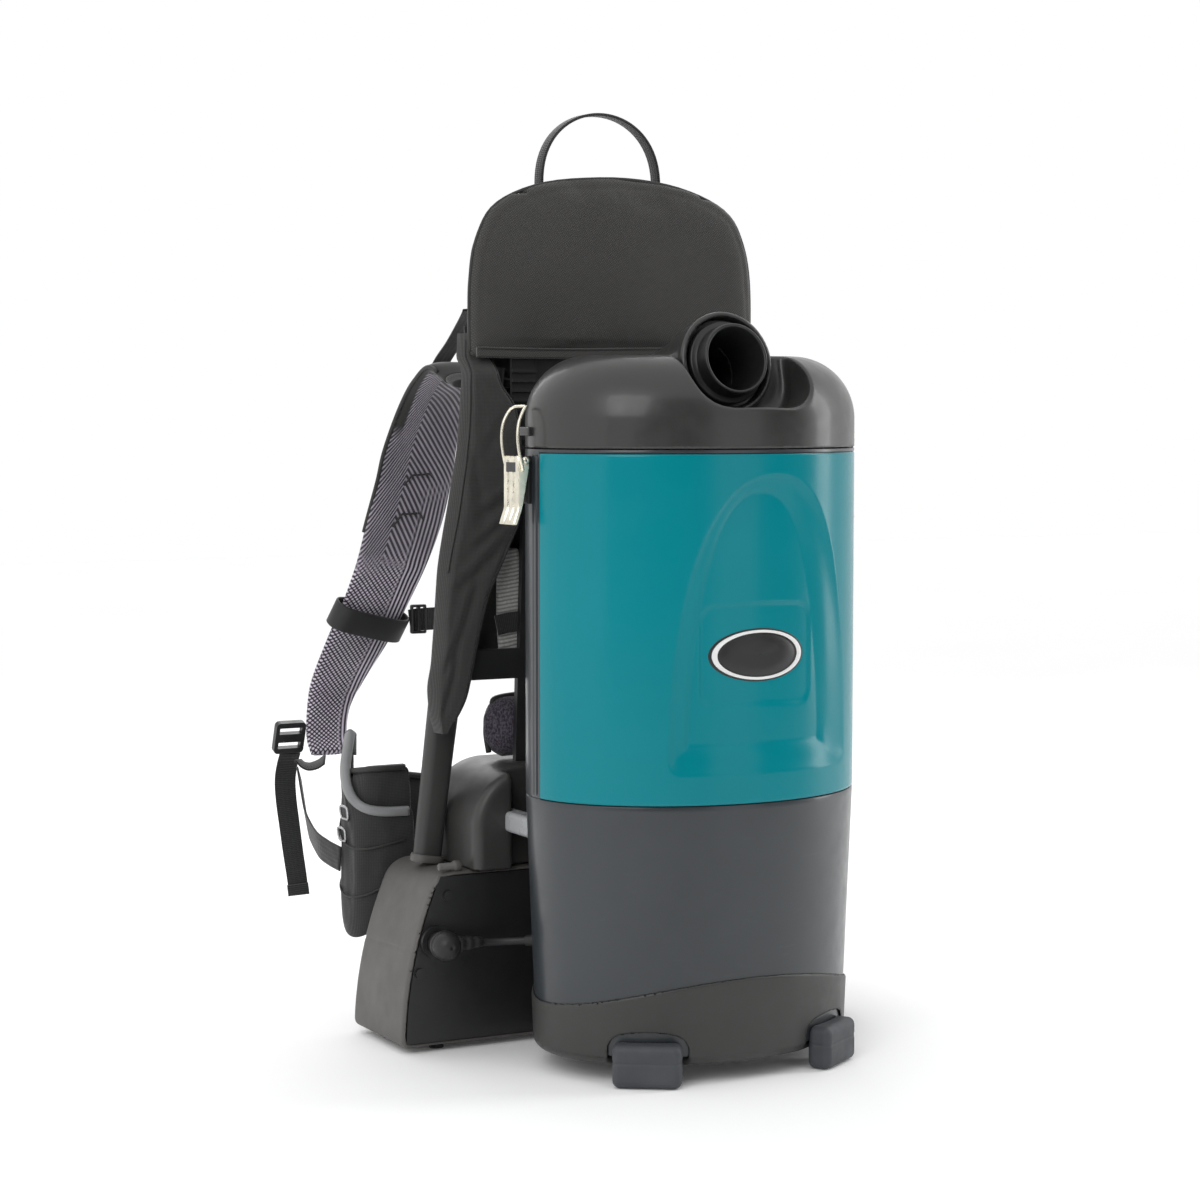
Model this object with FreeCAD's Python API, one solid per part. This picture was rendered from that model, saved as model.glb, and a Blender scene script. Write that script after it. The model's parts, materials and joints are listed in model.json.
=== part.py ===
"""Battery backpack vacuum cleaner: an oval canister with a lift-off lid, carried on an A-shaped
harness frame whose foot is a battery box.  Millimetres, +Z up, canister front towards -Y, the
wearer's back towards +Y.  The shapes are drawn round the canister's axis, and are moved at the end
so that the origin is on the floor under the middle of the whole object."""
import FreeCAD, Part
import math
import os

V = FreeCAD.Vector
UP = V(0, 0, 1)
TO_WEARER = V(0, 1, 0)

# ---------------------------------------------------------------- driving dimensions
CANISTER_A = 140.0           # half width of the canister
CANISTER_FRONT = 108.0       # half depth, front
CANISTER_BACK = 96.0         # half depth, back (flatter)
WALL = 3.0
GAP = 0.3                    # clearance between fitted shells

FLOOR_CLEAR = 14.0           # underside of the canister base
TUB_FOOT_Z = 22.0
COVER_LOW_Z = 219.0
DECK_Z = 222.0               # deck between motor room and dust room
SEAM_Z = 493.0               # where the lid meets the tub
LID_TOP_Z = 566.0
LID_ROUND = 50.0
FOOT_SHRINK = 8.0            # the tub narrows this much by its foot
COVER_EDGE_Y = -8.0          # the coloured cover ends here on both sides
BASE_PROUD = 2.2             # the base stands proud of the tub
BASE_SEAM_PEAK_Z = 82.0
BASE_SEAM_DROP = 24.0
BASE_TALLEST_Z = 90.0

INLET_TILT = 12.0            # inlet axis above the horizon, degrees
INLET_POINT = V(0, -53.4, 559.4)
INLET_BORE_R = 25.0
INLET_TUBE_R = 28.0
INLET_TUBE_OUT = 20.0        # tube in front of the hood's face
INLET_TUBE_IN = 30.0
INLET_COLLAR_R = 33.0
RUNNING = 0.06               # radial clearance of pins and swivels
HOOD_R = 40.0
HOOD_LENGTH = 78.0
SCOOP_R = 46.0
SCOOP_STRETCH = 1.32

LATCH_Y = 13.0
LATCH_WIDTH = 26.0
LATCH_PIVOT = V(-147.0, LATCH_Y, 484.0)
BAIL_PIVOT = V(-150.4, LATCH_Y, 476.0)
BAIL_TOP = V(-144.8, LATCH_Y, 526.0)
BAIL_WIRE_R = 1.3
LATCH_PIN_R = 1.5
LEVER_SHEET = 1.6

BOX_HALF_LOW = 209.0         # battery box, half width at its bottom
BOX_HALF_TOP = 177.0
BOX_FRONT = 100.0
BOX_BACK_LOW = 207.0
BOX_BACK_TOP = 200.0
BOX_Z0 = 5.0
BOX_Z1 = 147.0
PLUG = V(-180.0, 80.0, 91.0)
SWITCH_Y = 152.0
SWITCH_Z = 88.0

FRAME_Y = 134.0              # middle plane of the back plate
SADDLE_HALF = 148.0
SADDLE_TOP_Z = 230.0
SADDLE_ROUND = 50.0
PAD_HALF = 135.0
PAD_LOW_Z = 567.0
PAD_TOP_Z = 718.0
PAD_FRONT = 121.0
PAD_BACK = 142.0
HANDLE_HALF = 56.0
HANDLE_PIVOT_Z = 705.0
HANDLE_TOP_Z = 773.0
HANDLE_Y = 158.0

STERNUM_Z = 338.0
BELT_HINGE = V(-150, 212, 0)

LEAD_DIAMETER = 6.5
LEAD_ROUTE = [V(-161, 83, 91.2), V(-148, 84.5, 90.2), V(-135, 82.8, 90), V(-123, 77, 90.6),
              V(-114, 69, 91.6)]

PARTS = {}


# ---------------------------------------------------------------- helpers
def block(x0, x1, y0, y1, z0, z1):
    return Part.makeBox(x1 - x0, y1 - y0, z1 - z0, V(x0, y0, z0))


def side_block(side, x0, x1, y0, y1, z0, z1):
    """A block on one side of the mid plane: side is -1 or 1, and x0 < x1 count outwards."""
    low, high = sorted((side * x0, side * x1))
    return block(low, high, y0, y1, z0, z1)


def rod(start, direction, radius, length):
    return Part.makeCylinder(radius, length, start, direction)


def rounded_block(x0, x1, y0, y1, z0, z1, radius, axis):
    """A block whose four edges along one axis are rounded."""
    solid = block(x0, x1, y0, y1, z0, z1)
    index = "XYZ".index(axis)
    edges = []
    for edge in solid.Edges:
        span = edge.Vertexes[1].Point - edge.Vertexes[0].Point
        if abs(abs(span[index]) - span.Length) < 1e-6:
            edges.append(edge)
    return solid.makeFillet(radius, edges)


def oval(half_width, front, back, z):
    """Two half ellipses that meet at the sides: the canister's plan shape."""
    centre = V(0, 0, z)
    front_arc = Part.Arc(Part.Ellipse(centre, half_width, front), math.pi, 2 * math.pi).toShape()
    back_arc = Part.Arc(Part.Ellipse(centre, half_width, back), 0, math.pi).toShape()
    return Part.Wire([front_arc, back_arc])


def canister_oval(inset, z):
    return oval(CANISTER_A - inset, CANISTER_FRONT - inset, CANISTER_BACK - inset, z)


def canister_prism(inset, z0, z1):
    return Part.Face(canister_oval(inset, z0)).extrude(V(0, 0, z1 - z0))


def canister_taper(inset0, z0, inset1, z1):
    return Part.makeLoft([canister_oval(inset0, z0), canister_oval(inset1, z1)], True, True)


def tub_inset(z):
    """How far the lower tub is inside the full oval at a height."""
    share = (z - TUB_FOOT_Z) / (COVER_LOW_Z - TUB_FOOT_Z)
    return FOOT_SHRINK * (1 - share)


def dome(inset, z0, z1, radius):
    """The lid's form: an upright oval wall with a large round at the top."""
    solid = canister_prism(inset, z0, z1)
    top = [e for e in solid.Edges if e.BoundBox.ZMin > z1 - 1e-6]
    return solid.makeFillet(radius, top)


def mirrored(shape):
    return shape.mirror(V(0, 0, 0), V(1, 0, 0))


def both_sides(shape):
    return Part.makeCompound([shape, mirrored(shape)])


def largest(shape):
    return max(shape.Solids, key=lambda solid: solid.Volume)


def rounded_edges(points):
    """Straight runs joined by tangent arcs, each as large as its two runs allow."""
    edges, radii = [], []
    start = points[0]
    for before, corner, after in zip(points, points[1:], points[2:]):
        into = (corner - before).normalize()
        out = (after - corner).normalize()
        turn = into.getAngle(out)
        cut = 0.45 * min((corner - before).Length, (after - corner).Length)
        radius = cut / math.tan(turn / 2)
        bisector = (out - into).normalize()
        middle = corner + bisector * (radius * (1 / math.cos(turn / 2) - 1))
        first = corner - into * cut
        last = corner + out * cut
        edges.append(Part.LineSegment(start, first).toShape())
        edges.append(Part.Arc(first, middle, last).toShape())
        radii.append(radius)
        start = last
    edges.append(Part.LineSegment(start, points[-1]).toShape())
    return edges, radii


def tube_along(points, radius):
    """A round bar along straight runs and tangent arcs, its length and its bend radii."""
    edges, radii = rounded_edges(points)
    path = Part.Wire(edges)
    profile = Part.Wire([Part.Circle(points[0], points[1] - points[0], radius).toShape()])
    return path.makePipeShell([profile], True, True), path.Length, radii


def band(stations, across=V(1, 0, 0), roll=(0,)):
    """A strap or flat tube: rectangular sections (point, width, thickness) joined by ruled faces.

    roll lifts the inner edge: the tangent of the tilt at each station, the last one going on."""
    wires = []
    last = len(stations) - 1
    for i, (point, width, thick) in enumerate(stations):
        along = (stations[min(i + 1, last)][0] - stations[max(i - 1, 0)][0]).normalize()
        lift = roll[min(i, len(roll) - 1)]
        tilted = across + V(0, lift, lift)
        side = (tilted - along * tilted.dot(along)).normalize() * (width / 2)
        face = along.cross(side).normalize() * (thick / 2)
        corners = [point + side + face, point - side + face, point - side - face, point + side - face]
        wires.append(Part.makePolygon(corners + corners[:1]))
    return Part.makeLoft(wires, True, True)


def plate(points, y0, y1):
    """A flat panel: an outline of (x, z) pairs, extruded from y0 to y1."""
    corners = [V(x, y0, z) for x, z in points]
    return Part.Face(Part.makePolygon(corners + corners[:1])).extrude(V(0, y1 - y0, 0))


def add(name, shape):
    PARTS[name] = shape


def add_pair(name, left):
    add(name + "_left", left)
    add(name + "_right", mirrored(left))


# ---------------------------------------------------------------- canister
def canister_tub():
    """Dark lower shell and back wall: a dust room above, a deck, and a motor room below."""
    outer = canister_prism(0, COVER_LOW_Z, SEAM_Z).fuse(
        canister_taper(FOOT_SHRINK, TUB_FOOT_Z, 0, COVER_LOW_Z))
    recess = canister_prism(-5, COVER_LOW_Z, SEAM_Z - 3).cut(
        canister_prism(WALL + GAP, COVER_LOW_Z, SEAM_Z - 3))
    recess = recess.common(block(-160, 160, -130, COVER_EDGE_Y, COVER_LOW_Z, SEAM_Z - 3))
    dust_room = canister_prism(2 * WALL + GAP, DECK_Z + 4, SEAM_Z)
    motor_room = canister_taper(FOOT_SHRINK + WALL, TUB_FOOT_Z, 2 * WALL, DECK_Z)
    air_hole = rod(V(0, 0, DECK_Z - 1), UP, 34, 6)
    return outer.cut(recess).cut(dust_room).cut(motor_room).cut(air_hole).removeSplitter()


def front_cover():
    """The coloured front shell, from side to side and from the lower shell to the lid."""
    z0, z1 = COVER_LOW_Z + GAP, SEAM_Z - 3 - GAP
    ring = canister_prism(0, z0, z1).cut(canister_prism(WALL, z0, z1))
    return ring.common(block(-160, 160, -130, COVER_EDGE_Y - GAP, z0, z1))


def badge():
    """An oval plate that follows the cover's curve."""
    half_width, half_height, z = 43.5, 19.5, 334.0
    disc = rod(V(0, -130, z), TO_WEARER, half_height, 60)
    stretch = FreeCAD.Matrix()
    stretch.scale(half_width / half_height, 1, 1)
    shell = canister_prism(-1.2, z - 30, z + 30).cut(canister_prism(0, z - 30, z + 30))
    return shell.common(disc.transformGeometry(stretch))


def inlet_direction():
    tilt = math.radians(INLET_TILT)
    return V(0, -math.cos(tilt), math.sin(tilt))


def along_inlet(distance):
    return INLET_POINT + inlet_direction() * distance


def scoop_form(radius, depth):
    """The flat-bottomed recess round the hood: wider than it is tall."""
    wide = FreeCAD.Matrix()
    wide.scale(SCOOP_STRETCH, 1, 1)
    return Part.makeCylinder(radius, 90, along_inlet(-depth), inlet_direction()).transformGeometry(wide)


def lid():
    """Domed lid with a tilted hood for the hose inlet, standing in a scooped recess."""
    n = inlet_direction()
    hood = Part.makeCone(HOOD_R, HOOD_R - 10, HOOD_LENGTH, INLET_POINT, n * -1)
    outer = dome(0, SEAM_Z, LID_TOP_Z, LID_ROUND).cut(scoop_form(SCOOP_R, 8)).fuse(hood)
    room = dome(WALL, SEAM_Z - 1, LID_TOP_Z - WALL, LID_ROUND - WALL)
    inside = room.cut(scoop_form(SCOOP_R + WALL, 8 + WALL))
    bore = rod(along_inlet(-INLET_TUBE_IN - 4), n, INLET_TUBE_R + RUNNING, INLET_TUBE_IN + 24)
    duct = rod(along_inlet(-HOOD_LENGTH - 10), n, INLET_TUBE_R - 1.5, HOOD_LENGTH)
    body = outer.cut(inside).cut(bore).cut(duct)
    body = body.cut(rod(along_inlet(-12.4), n, INLET_TUBE_R + 3.5, 3.8))
    lip = canister_prism(2 * WALL + 2 * GAP, SEAM_Z - 8, SEAM_Z + 1).cut(
        canister_prism(3 * WALL + 2 * GAP, SEAM_Z - 8, SEAM_Z + 1))
    lip_inner = canister_prism(3 * WALL + 2 * GAP, SEAM_Z, SEAM_Z + 1)
    bridge = canister_prism(0.5, SEAM_Z, SEAM_Z + 1).cut(lip_inner)
    keeper = block(-143.0, -136, LATCH_Y - 9, LATCH_Y + 9, SEAM_Z + 10, SEAM_Z + 17)
    keeper = keeper.cut(canister_prism(WALL - 0.5, SEAM_Z, SEAM_Z + 20))
    body = body.fuse(lip).fuse(bridge).fuse(keeper).fuse(mirrored(keeper))
    return largest(body.removeSplitter())


def lid_seal():
    """Soft ring on the lid's lip."""
    inset = 3 * WALL + 3 * GAP
    z0, z1 = SEAM_Z - 7, SEAM_Z - 3
    return canister_prism(inset, z0, z1).cut(canister_prism(inset + 3, z0, z1))


def inlet_cuff():
    """Swivelling hose cuff: a tube with a collar outside the hood."""
    n = inlet_direction()
    tube = rod(along_inlet(-INLET_TUBE_IN), n, INLET_TUBE_R, INLET_TUBE_IN + INLET_TUBE_OUT)
    collar = rod(along_inlet(GAP), n, INLET_COLLAR_R, 5)
    bore = rod(along_inlet(-INLET_TUBE_IN - 1), n, INLET_BORE_R, INLET_TUBE_IN + INLET_TUBE_OUT + 2)
    return tube.fuse(collar).cut(bore).removeSplitter()


def inlet_retainer():
    """Snap ring round the cuff, in the hood's groove."""
    n = inlet_direction()
    return rod(along_inlet(-12), n, INLET_TUBE_R + 3, 3).cut(rod(along_inlet(-13), n, INLET_TUBE_R, 5))


def above_base_seam():
    """Everything above the base's arched top edge."""
    reach, steps = 150.0, 10
    points = []
    for i in range(steps + 1):
        x = -reach + 2 * reach * i / steps
        points.append(V(x, -170, BASE_SEAM_PEAK_Z - BASE_SEAM_DROP * (x / 134) ** 2))
    curve = Part.BSplineCurve()
    curve.interpolate(points)
    rim = Part.makePolygon([points[-1], V(reach, -170, 140), V(-reach, -170, 140), points[0]])
    return Part.Face(Part.Wire([curve.toShape()] + rim.Edges)).extrude(V(0, 340, 0))


def base_bumper():
    """Black base that the tub stands in."""
    z1 = BASE_TALLEST_Z
    skirt = canister_taper(FOOT_SHRINK - BASE_PROUD, TUB_FOOT_Z, tub_inset(z1) - BASE_PROUD, z1)
    pan = canister_taper(FOOT_SHRINK + 5, FLOOR_CLEAR, FOOT_SHRINK - BASE_PROUD, TUB_FOOT_Z)
    room = canister_taper(FOOT_SHRINK - GAP, TUB_FOOT_Z - GAP, tub_inset(z1) - GAP, z1)
    body = skirt.fuse(pan).cut(room).cut(above_base_seam())
    for side in (-1, 1):
        body = body.cut(foot_form(side, GAP))
    return largest(body)


def foot_form(side, margin):
    """One front foot, turned to face out of its corner."""
    foot = rounded_block(-27 - margin, 27 + margin, -10 - margin, 10 + margin, 0, 34 + margin, 7, "Z")
    foot.rotate(V(0, 0, 0), UP, 33 * side)
    foot.translate(V(84.5 * side, -83, 0))
    return foot


def front_foot():
    """Soft foot that fills its pocket in the base, clear of the tub."""
    tub = canister_taper(FOOT_SHRINK - GAP, TUB_FOOT_Z - GAP, tub_inset(60) - GAP, 60)
    return foot_form(-1, 0).cut(tub)


# ---------------------------------------------------------------- lid latches
def latch_bracket():
    """Hinge block on the tub's side, with two ears and the lever's pin."""
    y0, y1 = LATCH_Y - 8, LATCH_Y + 8
    foot = block(-143.4, -136, y0, y1, 450, 480)
    ears = [block(-149.6, -136, y, y + 3, 479, 487.4) for y in (y0, y1 - 3)]
    solid = foot.fuse(ears[0]).fuse(ears[1]).cut(canister_prism(0, 440, SEAM_Z))
    pin_reach = LATCH_WIDTH / 2
    pin = rod(LATCH_PIVOT - V(0, pin_reach, 0), TO_WEARER, LATCH_PIN_R, 2 * pin_reach)
    return solid.fuse(pin).removeSplitter()


def latch_lever():
    """Pressed steel lever: a channel that hangs down the side, with a flared finger tab."""
    y0, y1 = LATCH_Y - LATCH_WIDTH / 2, LATCH_Y + LATCH_WIDTH / 2
    sheet = [(-154, 487), (-152.4, 487), (-152.4, 446), (-156.4, 434), (-158, 434.6), (-154, 446.4)]
    face = plate(sheet, y0, y1)
    cheek = [(-152.4, 487), (-144.8, 487), (-144.8, 476), (-149.5, 452), (-152.4, 452)]
    lever = face.fuse(plate(cheek, y0, y0 + LEVER_SHEET)).fuse(plate(cheek, y1 - LEVER_SHEET, y1))
    for point, radius in ((LATCH_PIVOT, LATCH_PIN_R), (BAIL_PIVOT, BAIL_WIRE_R)):
        lever = lever.cut(rod(point - V(0, 40, 0), TO_WEARER, radius + RUNNING, 80))
    return lever.removeSplitter()


def latch_bail():
    """Sprung wire loop from the lever up to the lid's keeper."""
    reach = LATCH_WIDTH / 2 + 2.4

    def at(x, y, z):
        return V(x, LATCH_Y + y, z)

    points = [at(BAIL_PIVOT.x, -reach + 4.4, BAIL_PIVOT.z), at(BAIL_PIVOT.x, -reach, BAIL_PIVOT.z),
              at(-154.5, -reach, 500), at(BAIL_TOP.x, -reach + 3.5, BAIL_TOP.z),
              at(BAIL_TOP.x, 0, BAIL_TOP.z)]
    half = tube_along(points, BAIL_WIRE_R)[0]
    other = half.mirror(V(0, LATCH_Y, 0), V(0, 1, 0))
    return half.fuse(other).removeSplitter()


# ---------------------------------------------------------------- motor, filters and bag
def motor_body():
    """Motor can with its stator ring and a bored lower boss for the rotor's shaft."""
    can = rod(V(0, 0, 92), UP, 56, 66).cut(rod(V(0, 0, 95), UP, 53.5, 60))
    stator = rod(V(0, 0, 100), UP, 53.6, 34).cut(rod(V(0, 0, 99), UP, 30, 36))
    boss = rod(V(0, 0, 78), UP, 26, 15)
    return can.fuse(stator).fuse(boss).cut(rod(V(0, 0, 70), UP, 4.6 + RUNNING, 100)).removeSplitter()


def fan_shroud():
    """Cup round the fan, with an eye at the top."""
    cup = rod(V(0, 0, 158.3), UP, 66, 46)
    room = rod(V(0, 0, 164), UP, 62, 37)
    return cup.cut(room).cut(rod(V(0, 0, 195), UP, 24, 20)).cut(rod(V(0, 0, 150), UP, 9, 20))


def fan_rotor():
    """Shaft, armature, hub and bladed disc."""
    rotor = rod(V(0, 0, 74), UP, 4.6, 114).fuse(rod(V(0, 0, 100), UP, 27, 34))
    rotor = rotor.fuse(rod(V(0, 0, 170), UP, 54, 2.5)).fuse(rod(V(0, 0, 167), UP, 12, 24))
    for i in range(9):
        blade = block(11, 52, -1, 1, 172, 188)
        blade.rotate(V(11, 0, 0), UP, 28)
        blade.rotate(V(0, 0, 0), UP, 40 * i)
        rotor = rotor.fuse(blade)
    return rotor.removeSplitter()


def motor_mounts():
    """Rubber ring above the fan cup, and rubber ring under the motor."""
    upper = rod(V(0, 0, 204.6), UP, 62, DECK_Z - 205).cut(rod(V(0, 0, 204), UP, 36, 30))
    lower = rod(V(0, 0, 60), UP, 40, 31.7).cut(rod(V(0, 0, 59), UP, 26.3, 34))
    return Part.makeCompound([upper, lower])


def exhaust_filter():
    """Flat filter block in the base, under the motor."""
    return canister_prism(24, 24, 58).cut(rod(V(0, 0, 20), UP, 22, 50))


def filter_basket():
    """Open frame over the deck hole that holds the cloth filter."""
    z = DECK_Z + 4.3
    basket = rod(V(0, 0, z), UP, 70, 4).cut(rod(V(0, 0, z - 1), UP, 40, 8))
    for i in range(6):
        bar = block(60, 66, -3, 3, z + 3, z + 42)
        bar.rotate(V(0, 0, 0), UP, 60 * i)
        basket = basket.fuse(bar)
    top = rod(V(0, 0, z + 40), UP, 66, 4).cut(rod(V(0, 0, z + 39), UP, 30, 6))
    return basket.fuse(top).removeSplitter()


def cloth_filter():
    """Cone-shaped cloth pre-filter inside the basket."""
    z = DECK_Z + 10
    outer = Part.makeCone(54, 44, 30, V(0, 0, z))
    return outer.cut(Part.makeCone(52, 42, 28, V(0, 0, z - 0.1)))


def dust_bag():
    """Paper bag that fills the dust room, as a thin closed skin with a mouth, and its card collar."""
    mouth = rod(V(0, -30, 470), UP, 25, 15)
    skin = canister_prism(14, DECK_Z + 52, 479).cut(canister_prism(15.5, DECK_Z + 53.5, 477.5))
    card = rounded_block(-42, 42, -66, 30, 479, 482, 10, "Z")
    return skin.fuse(card).cut(mouth).removeSplitter()


# ---------------------------------------------------------------- battery box
def box_half(z):
    """The bulging end's half width at a height."""
    share = (z - BOX_Z0) / (BOX_Z1 - BOX_Z0)
    return BOX_HALF_LOW - (BOX_HALF_LOW - BOX_HALF_TOP) * share ** 2


def box_form(inset, front):
    """Box with bulging ends and a back that leans in, wide and deep at the bottom."""
    z0, z1, steps = BOX_Z0 + inset, BOX_Z1 - inset, 4
    heights = [z0 + (z1 - z0) * i / steps for i in range(steps + 1)]
    ends = []
    for side in (-1, 1):
        curve = Part.BSplineCurve()
        curve.interpolate([V(side * (box_half(z) - inset), front, z) for z in heights])
        ends.append(curve.toShape())
    bottom = Part.LineSegment(ends[0].firstVertex().Point, ends[1].firstVertex().Point).toShape()
    top = Part.LineSegment(ends[0].lastVertex().Point, ends[1].lastVertex().Point).toShape()
    face = Part.Face(Part.Wire(Part.__sortEdges__([bottom, ends[1], top, ends[0]])))
    solid = face.extrude(V(0, BOX_BACK_LOW - inset - front, 0))
    lean = Part.makePolygon([V(-230, BOX_BACK_LOW - inset, BOX_Z0), V(-230, BOX_BACK_TOP - inset, BOX_Z1),
                             V(-230, BOX_BACK_TOP - inset, 200), V(-230, 300, 200), V(-230, 300, BOX_Z0),
                             V(-230, BOX_BACK_LOW - inset, BOX_Z0)])
    return solid.cut(Part.Face(lean).extrude(V(460, 0, 0)))


def battery_box():
    """Moulded housing, open to the front, that closes the foot of the harness frame."""
    outer = box_form(0, BOX_FRONT)
    shoulders = [e for e in outer.Edges if e.BoundBox.YLength > 50 and e.BoundBox.ZMin > 50]
    body = outer.makeFillet(8, shoulders).cut(box_form(WALL, BOX_FRONT - 1))
    return body.cut(block(170, 220, SWITCH_Y - 14, SWITCH_Y + 14, SWITCH_Z - 11, SWITCH_Z + 11))


def cover_screw_points():
    left = [V(-194, 0, 66), V(-169, 0, 128), V(-60, 0, 16)]
    return left + [V(-p.x, 0, p.z) for p in left]


def box_cover():
    """Front panel set inside the housing's rim."""
    y0, y1 = BOX_FRONT + 1.5, BOX_FRONT + 5
    panel = box_form(WALL + GAP, y0).common(block(-230, 230, y0, y1, 0, 200))
    panel = panel.cut(rod(V(PLUG.x, 90, PLUG.z), TO_WEARER, 12.3, 40))
    for point in cover_screw_points():
        panel = panel.cut(rod(V(point.x, 90, point.z), TO_WEARER, 2.2, 40))
    return panel


def box_screws():
    """Cover screws: round heads on short shanks."""
    screws = []
    for point in cover_screw_points():
        head = rod(V(point.x, BOX_FRONT - 0.9, point.z), TO_WEARER, 4.2, 2.3)
        shank = rod(V(point.x, BOX_FRONT + 1, point.z), TO_WEARER, 2.0, 11)
        screws.append(head.fuse(shank).removeSplitter())
    return Part.makeCompound(screws)


def box_feet():
    """Four rubber studs under the box."""
    return Part.makeCompound([rod(V(x, y, 0), UP, 6, BOX_Z0) for x in (-172, 172) for y in (118, 186)])


def battery_pack():
    """Cells in a slim case, inside the box."""
    return rounded_block(-128, 128, 116, 190, BOX_Z0 + WALL + GAP, 112, 8, "X")


def cord_hook():
    """Hook pin on the box's top front edge, with its knob."""
    y, z = BOX_FRONT + 8, BOX_Z1 + 3.4
    stem = rod(V(-174, y, z), V(1, 0, 0), 3.2, 14)
    knob = rod(V(-161, y, z), V(1, 0, 0), 4.6, 7)
    return stem.fuse(knob).cut(block(-180, -150, y - 10, y + 10, BOX_Z1 - 4, BOX_Z1)).removeSplitter()


def power_socket():
    """Round socket in the front panel."""
    body = rod(V(PLUG.x, BOX_FRONT - 3, PLUG.z), TO_WEARER, 12, 18)
    flange = rod(V(PLUG.x, BOX_FRONT - 3, PLUG.z), TO_WEARER, 13.5, 4)
    well = rod(V(PLUG.x, BOX_FRONT - 4, PLUG.z), TO_WEARER, 9.3, 12)
    return body.fuse(flange).cut(well).removeSplitter()


def plug():
    """Right-angle plug with a domed body and a tapered strain relief."""
    stem = rod(PLUG, TO_WEARER, 9, BOX_FRONT + 6 - PLUG.y)
    ball = Part.makeSphere(12, PLUG + V(0, 1, 0))
    relief_start = V(LEAD_ROUTE[0].x - 14, LEAD_ROUTE[0].y, PLUG.z)
    relief = Part.makeCone(6, LEAD_DIAMETER / 2 + 0.8, 14, relief_start, V(1, 0, 0))
    return stem.fuse(ball).fuse(relief).removeSplitter()


def power_switch():
    """Rocker in the box's right end: a slice of a drum that tips about its own axis."""
    x = box_half(SWITCH_Z)
    drum = rod(V(x - 9, SWITCH_Y - 7, SWITCH_Z), TO_WEARER, 13, 14)
    return drum.common(block(x - 9, x + 6, SWITCH_Y - 7, SWITCH_Y + 7, SWITCH_Z - 7, SWITCH_Z + 7))


def switch_bezel():
    """Frame round the rocker."""
    x = box_half(SWITCH_Z)
    bezel = block(x - 14, x - 0.5, SWITCH_Y - 13.5, SWITCH_Y + 13.5, SWITCH_Z - 10.6, SWITCH_Z + 10.6)
    return bezel.cut(block(x - 20, x + 20, SWITCH_Y - 7.4, SWITCH_Y + 7.4, SWITCH_Z - 9.4, SWITCH_Z + 9.4))


def battery_lead():
    lead, length, radii = tube_along(LEAD_ROUTE, LEAD_DIAMETER / 2)
    expected = math.pi * (LEAD_DIAMETER / 2) ** 2 * length
    print("battery_lead length", round(length, 1), "bend radii", [round(r, 1) for r in radii],
          "volume ratio", round(lead.Volume / expected, 4))
    return lead


def lead_gland():
    """Tapered gland where the lead enters the tub."""
    tip = LEAD_ROUTE[-1]
    direction = (tip - LEAD_ROUTE[-2]).normalize()
    cone = Part.makeCone(LEAD_DIAMETER / 2 + 1, 8, 28, tip, direction)
    return largest(cone.cut(canister_taper(FOOT_SHRINK, TUB_FOOT_Z, 0, COVER_LOW_Z)))


# ---------------------------------------------------------------- frame
def saddle_form(inset, y0, y1, z0):
    """Arched bar: upright sides and round shoulders."""
    half, top = SADDLE_HALF - inset, SADDLE_TOP_Z - inset
    solid = block(-half, half, y0, y1, z0, top)
    shoulders = [e for e in solid.Edges if e.BoundBox.YLength > 50 and e.BoundBox.ZMin > top - 1]
    return solid.makeFillet(SADDLE_ROUND - inset, shoulders)


def saddle():
    """Moulded saddle on the box: cheeks each side of the canister's back, and a hollow behind."""
    body = saddle_form(0, 92, 192, BOX_Z1 + GAP).cut(saddle_form(4, 112, 188, BOX_Z1 - 1))
    return body.cut(block(-114, 114, 80, 108, 140, 240))


def mount_lugs():
    """Two pale lugs that tie the canister's back to the saddle."""
    lug = rounded_block(-121, -104, 40, 107.7, 178, 195, 4, "Y")
    lug = lug.cut(canister_taper(FOOT_SHRINK, TUB_FOOT_Z, 0, COVER_LOW_Z))
    lug = lug.cut(block(-160, -113.7, 92 - GAP, 120, 170, 200))
    return both_sides(largest(lug))


def upright():
    """Flat tube from the box up to the shoulder yoke."""
    tube = band([(V(-166, 150, BOX_Z1 - 4), 24, 16), (V(-158, 149, 215), 25, 16), (V(-150, 147, 283), 27, 15),
                 (V(-133, 144, 399), 30, 13), (V(-119, 142.5, 480), 30, 11), (V(-110, 142.5, 560), 28, 10)])
    return tube.cut(block(-200, -100, 100, 200, BOX_Z1 - 20, BOX_Z1 + GAP))


def back_plate():
    """Moulded plate between the uprights, with height slots, side tabs and the handle's ears."""
    y0, y1 = FRAME_Y - 3, FRAME_Y + 3
    half = [(92, SADDLE_TOP_Z + GAP), (90, 300), (134, 300), (129, 325), (88, 325), (82, 500), (104, 505),
            (102, 525), (80, 530), (72, 702)]
    body = plate([(-x, z) for x, z in half] + [(x, z) for x, z in reversed(half)], y0, y1)
    for x in (-52, 52):
        for i in range(9):
            z = 392 + 18 * i
            body = body.cut(block(x - 12, x + 12, y0 - 1, y1 + 1, z, z + 6))
    for side in (-1, 1):
        ear = side_block(side, 44, 54.5, y0, HANDLE_Y + 7, HANDLE_PIVOT_Z - 7, HANDLE_PIVOT_Z + 6)
        pin = rod(V(side * 50, HANDLE_Y, HANDLE_PIVOT_Z), V(side, 0, 0), 3, 11)
        head = rod(V(side * 59, HANDLE_Y, HANDLE_PIVOT_Z), V(side, 0, 0), 5.5, 2)
        body = body.fuse(ear).fuse(pin).fuse(head)
    return body.removeSplitter()


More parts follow.
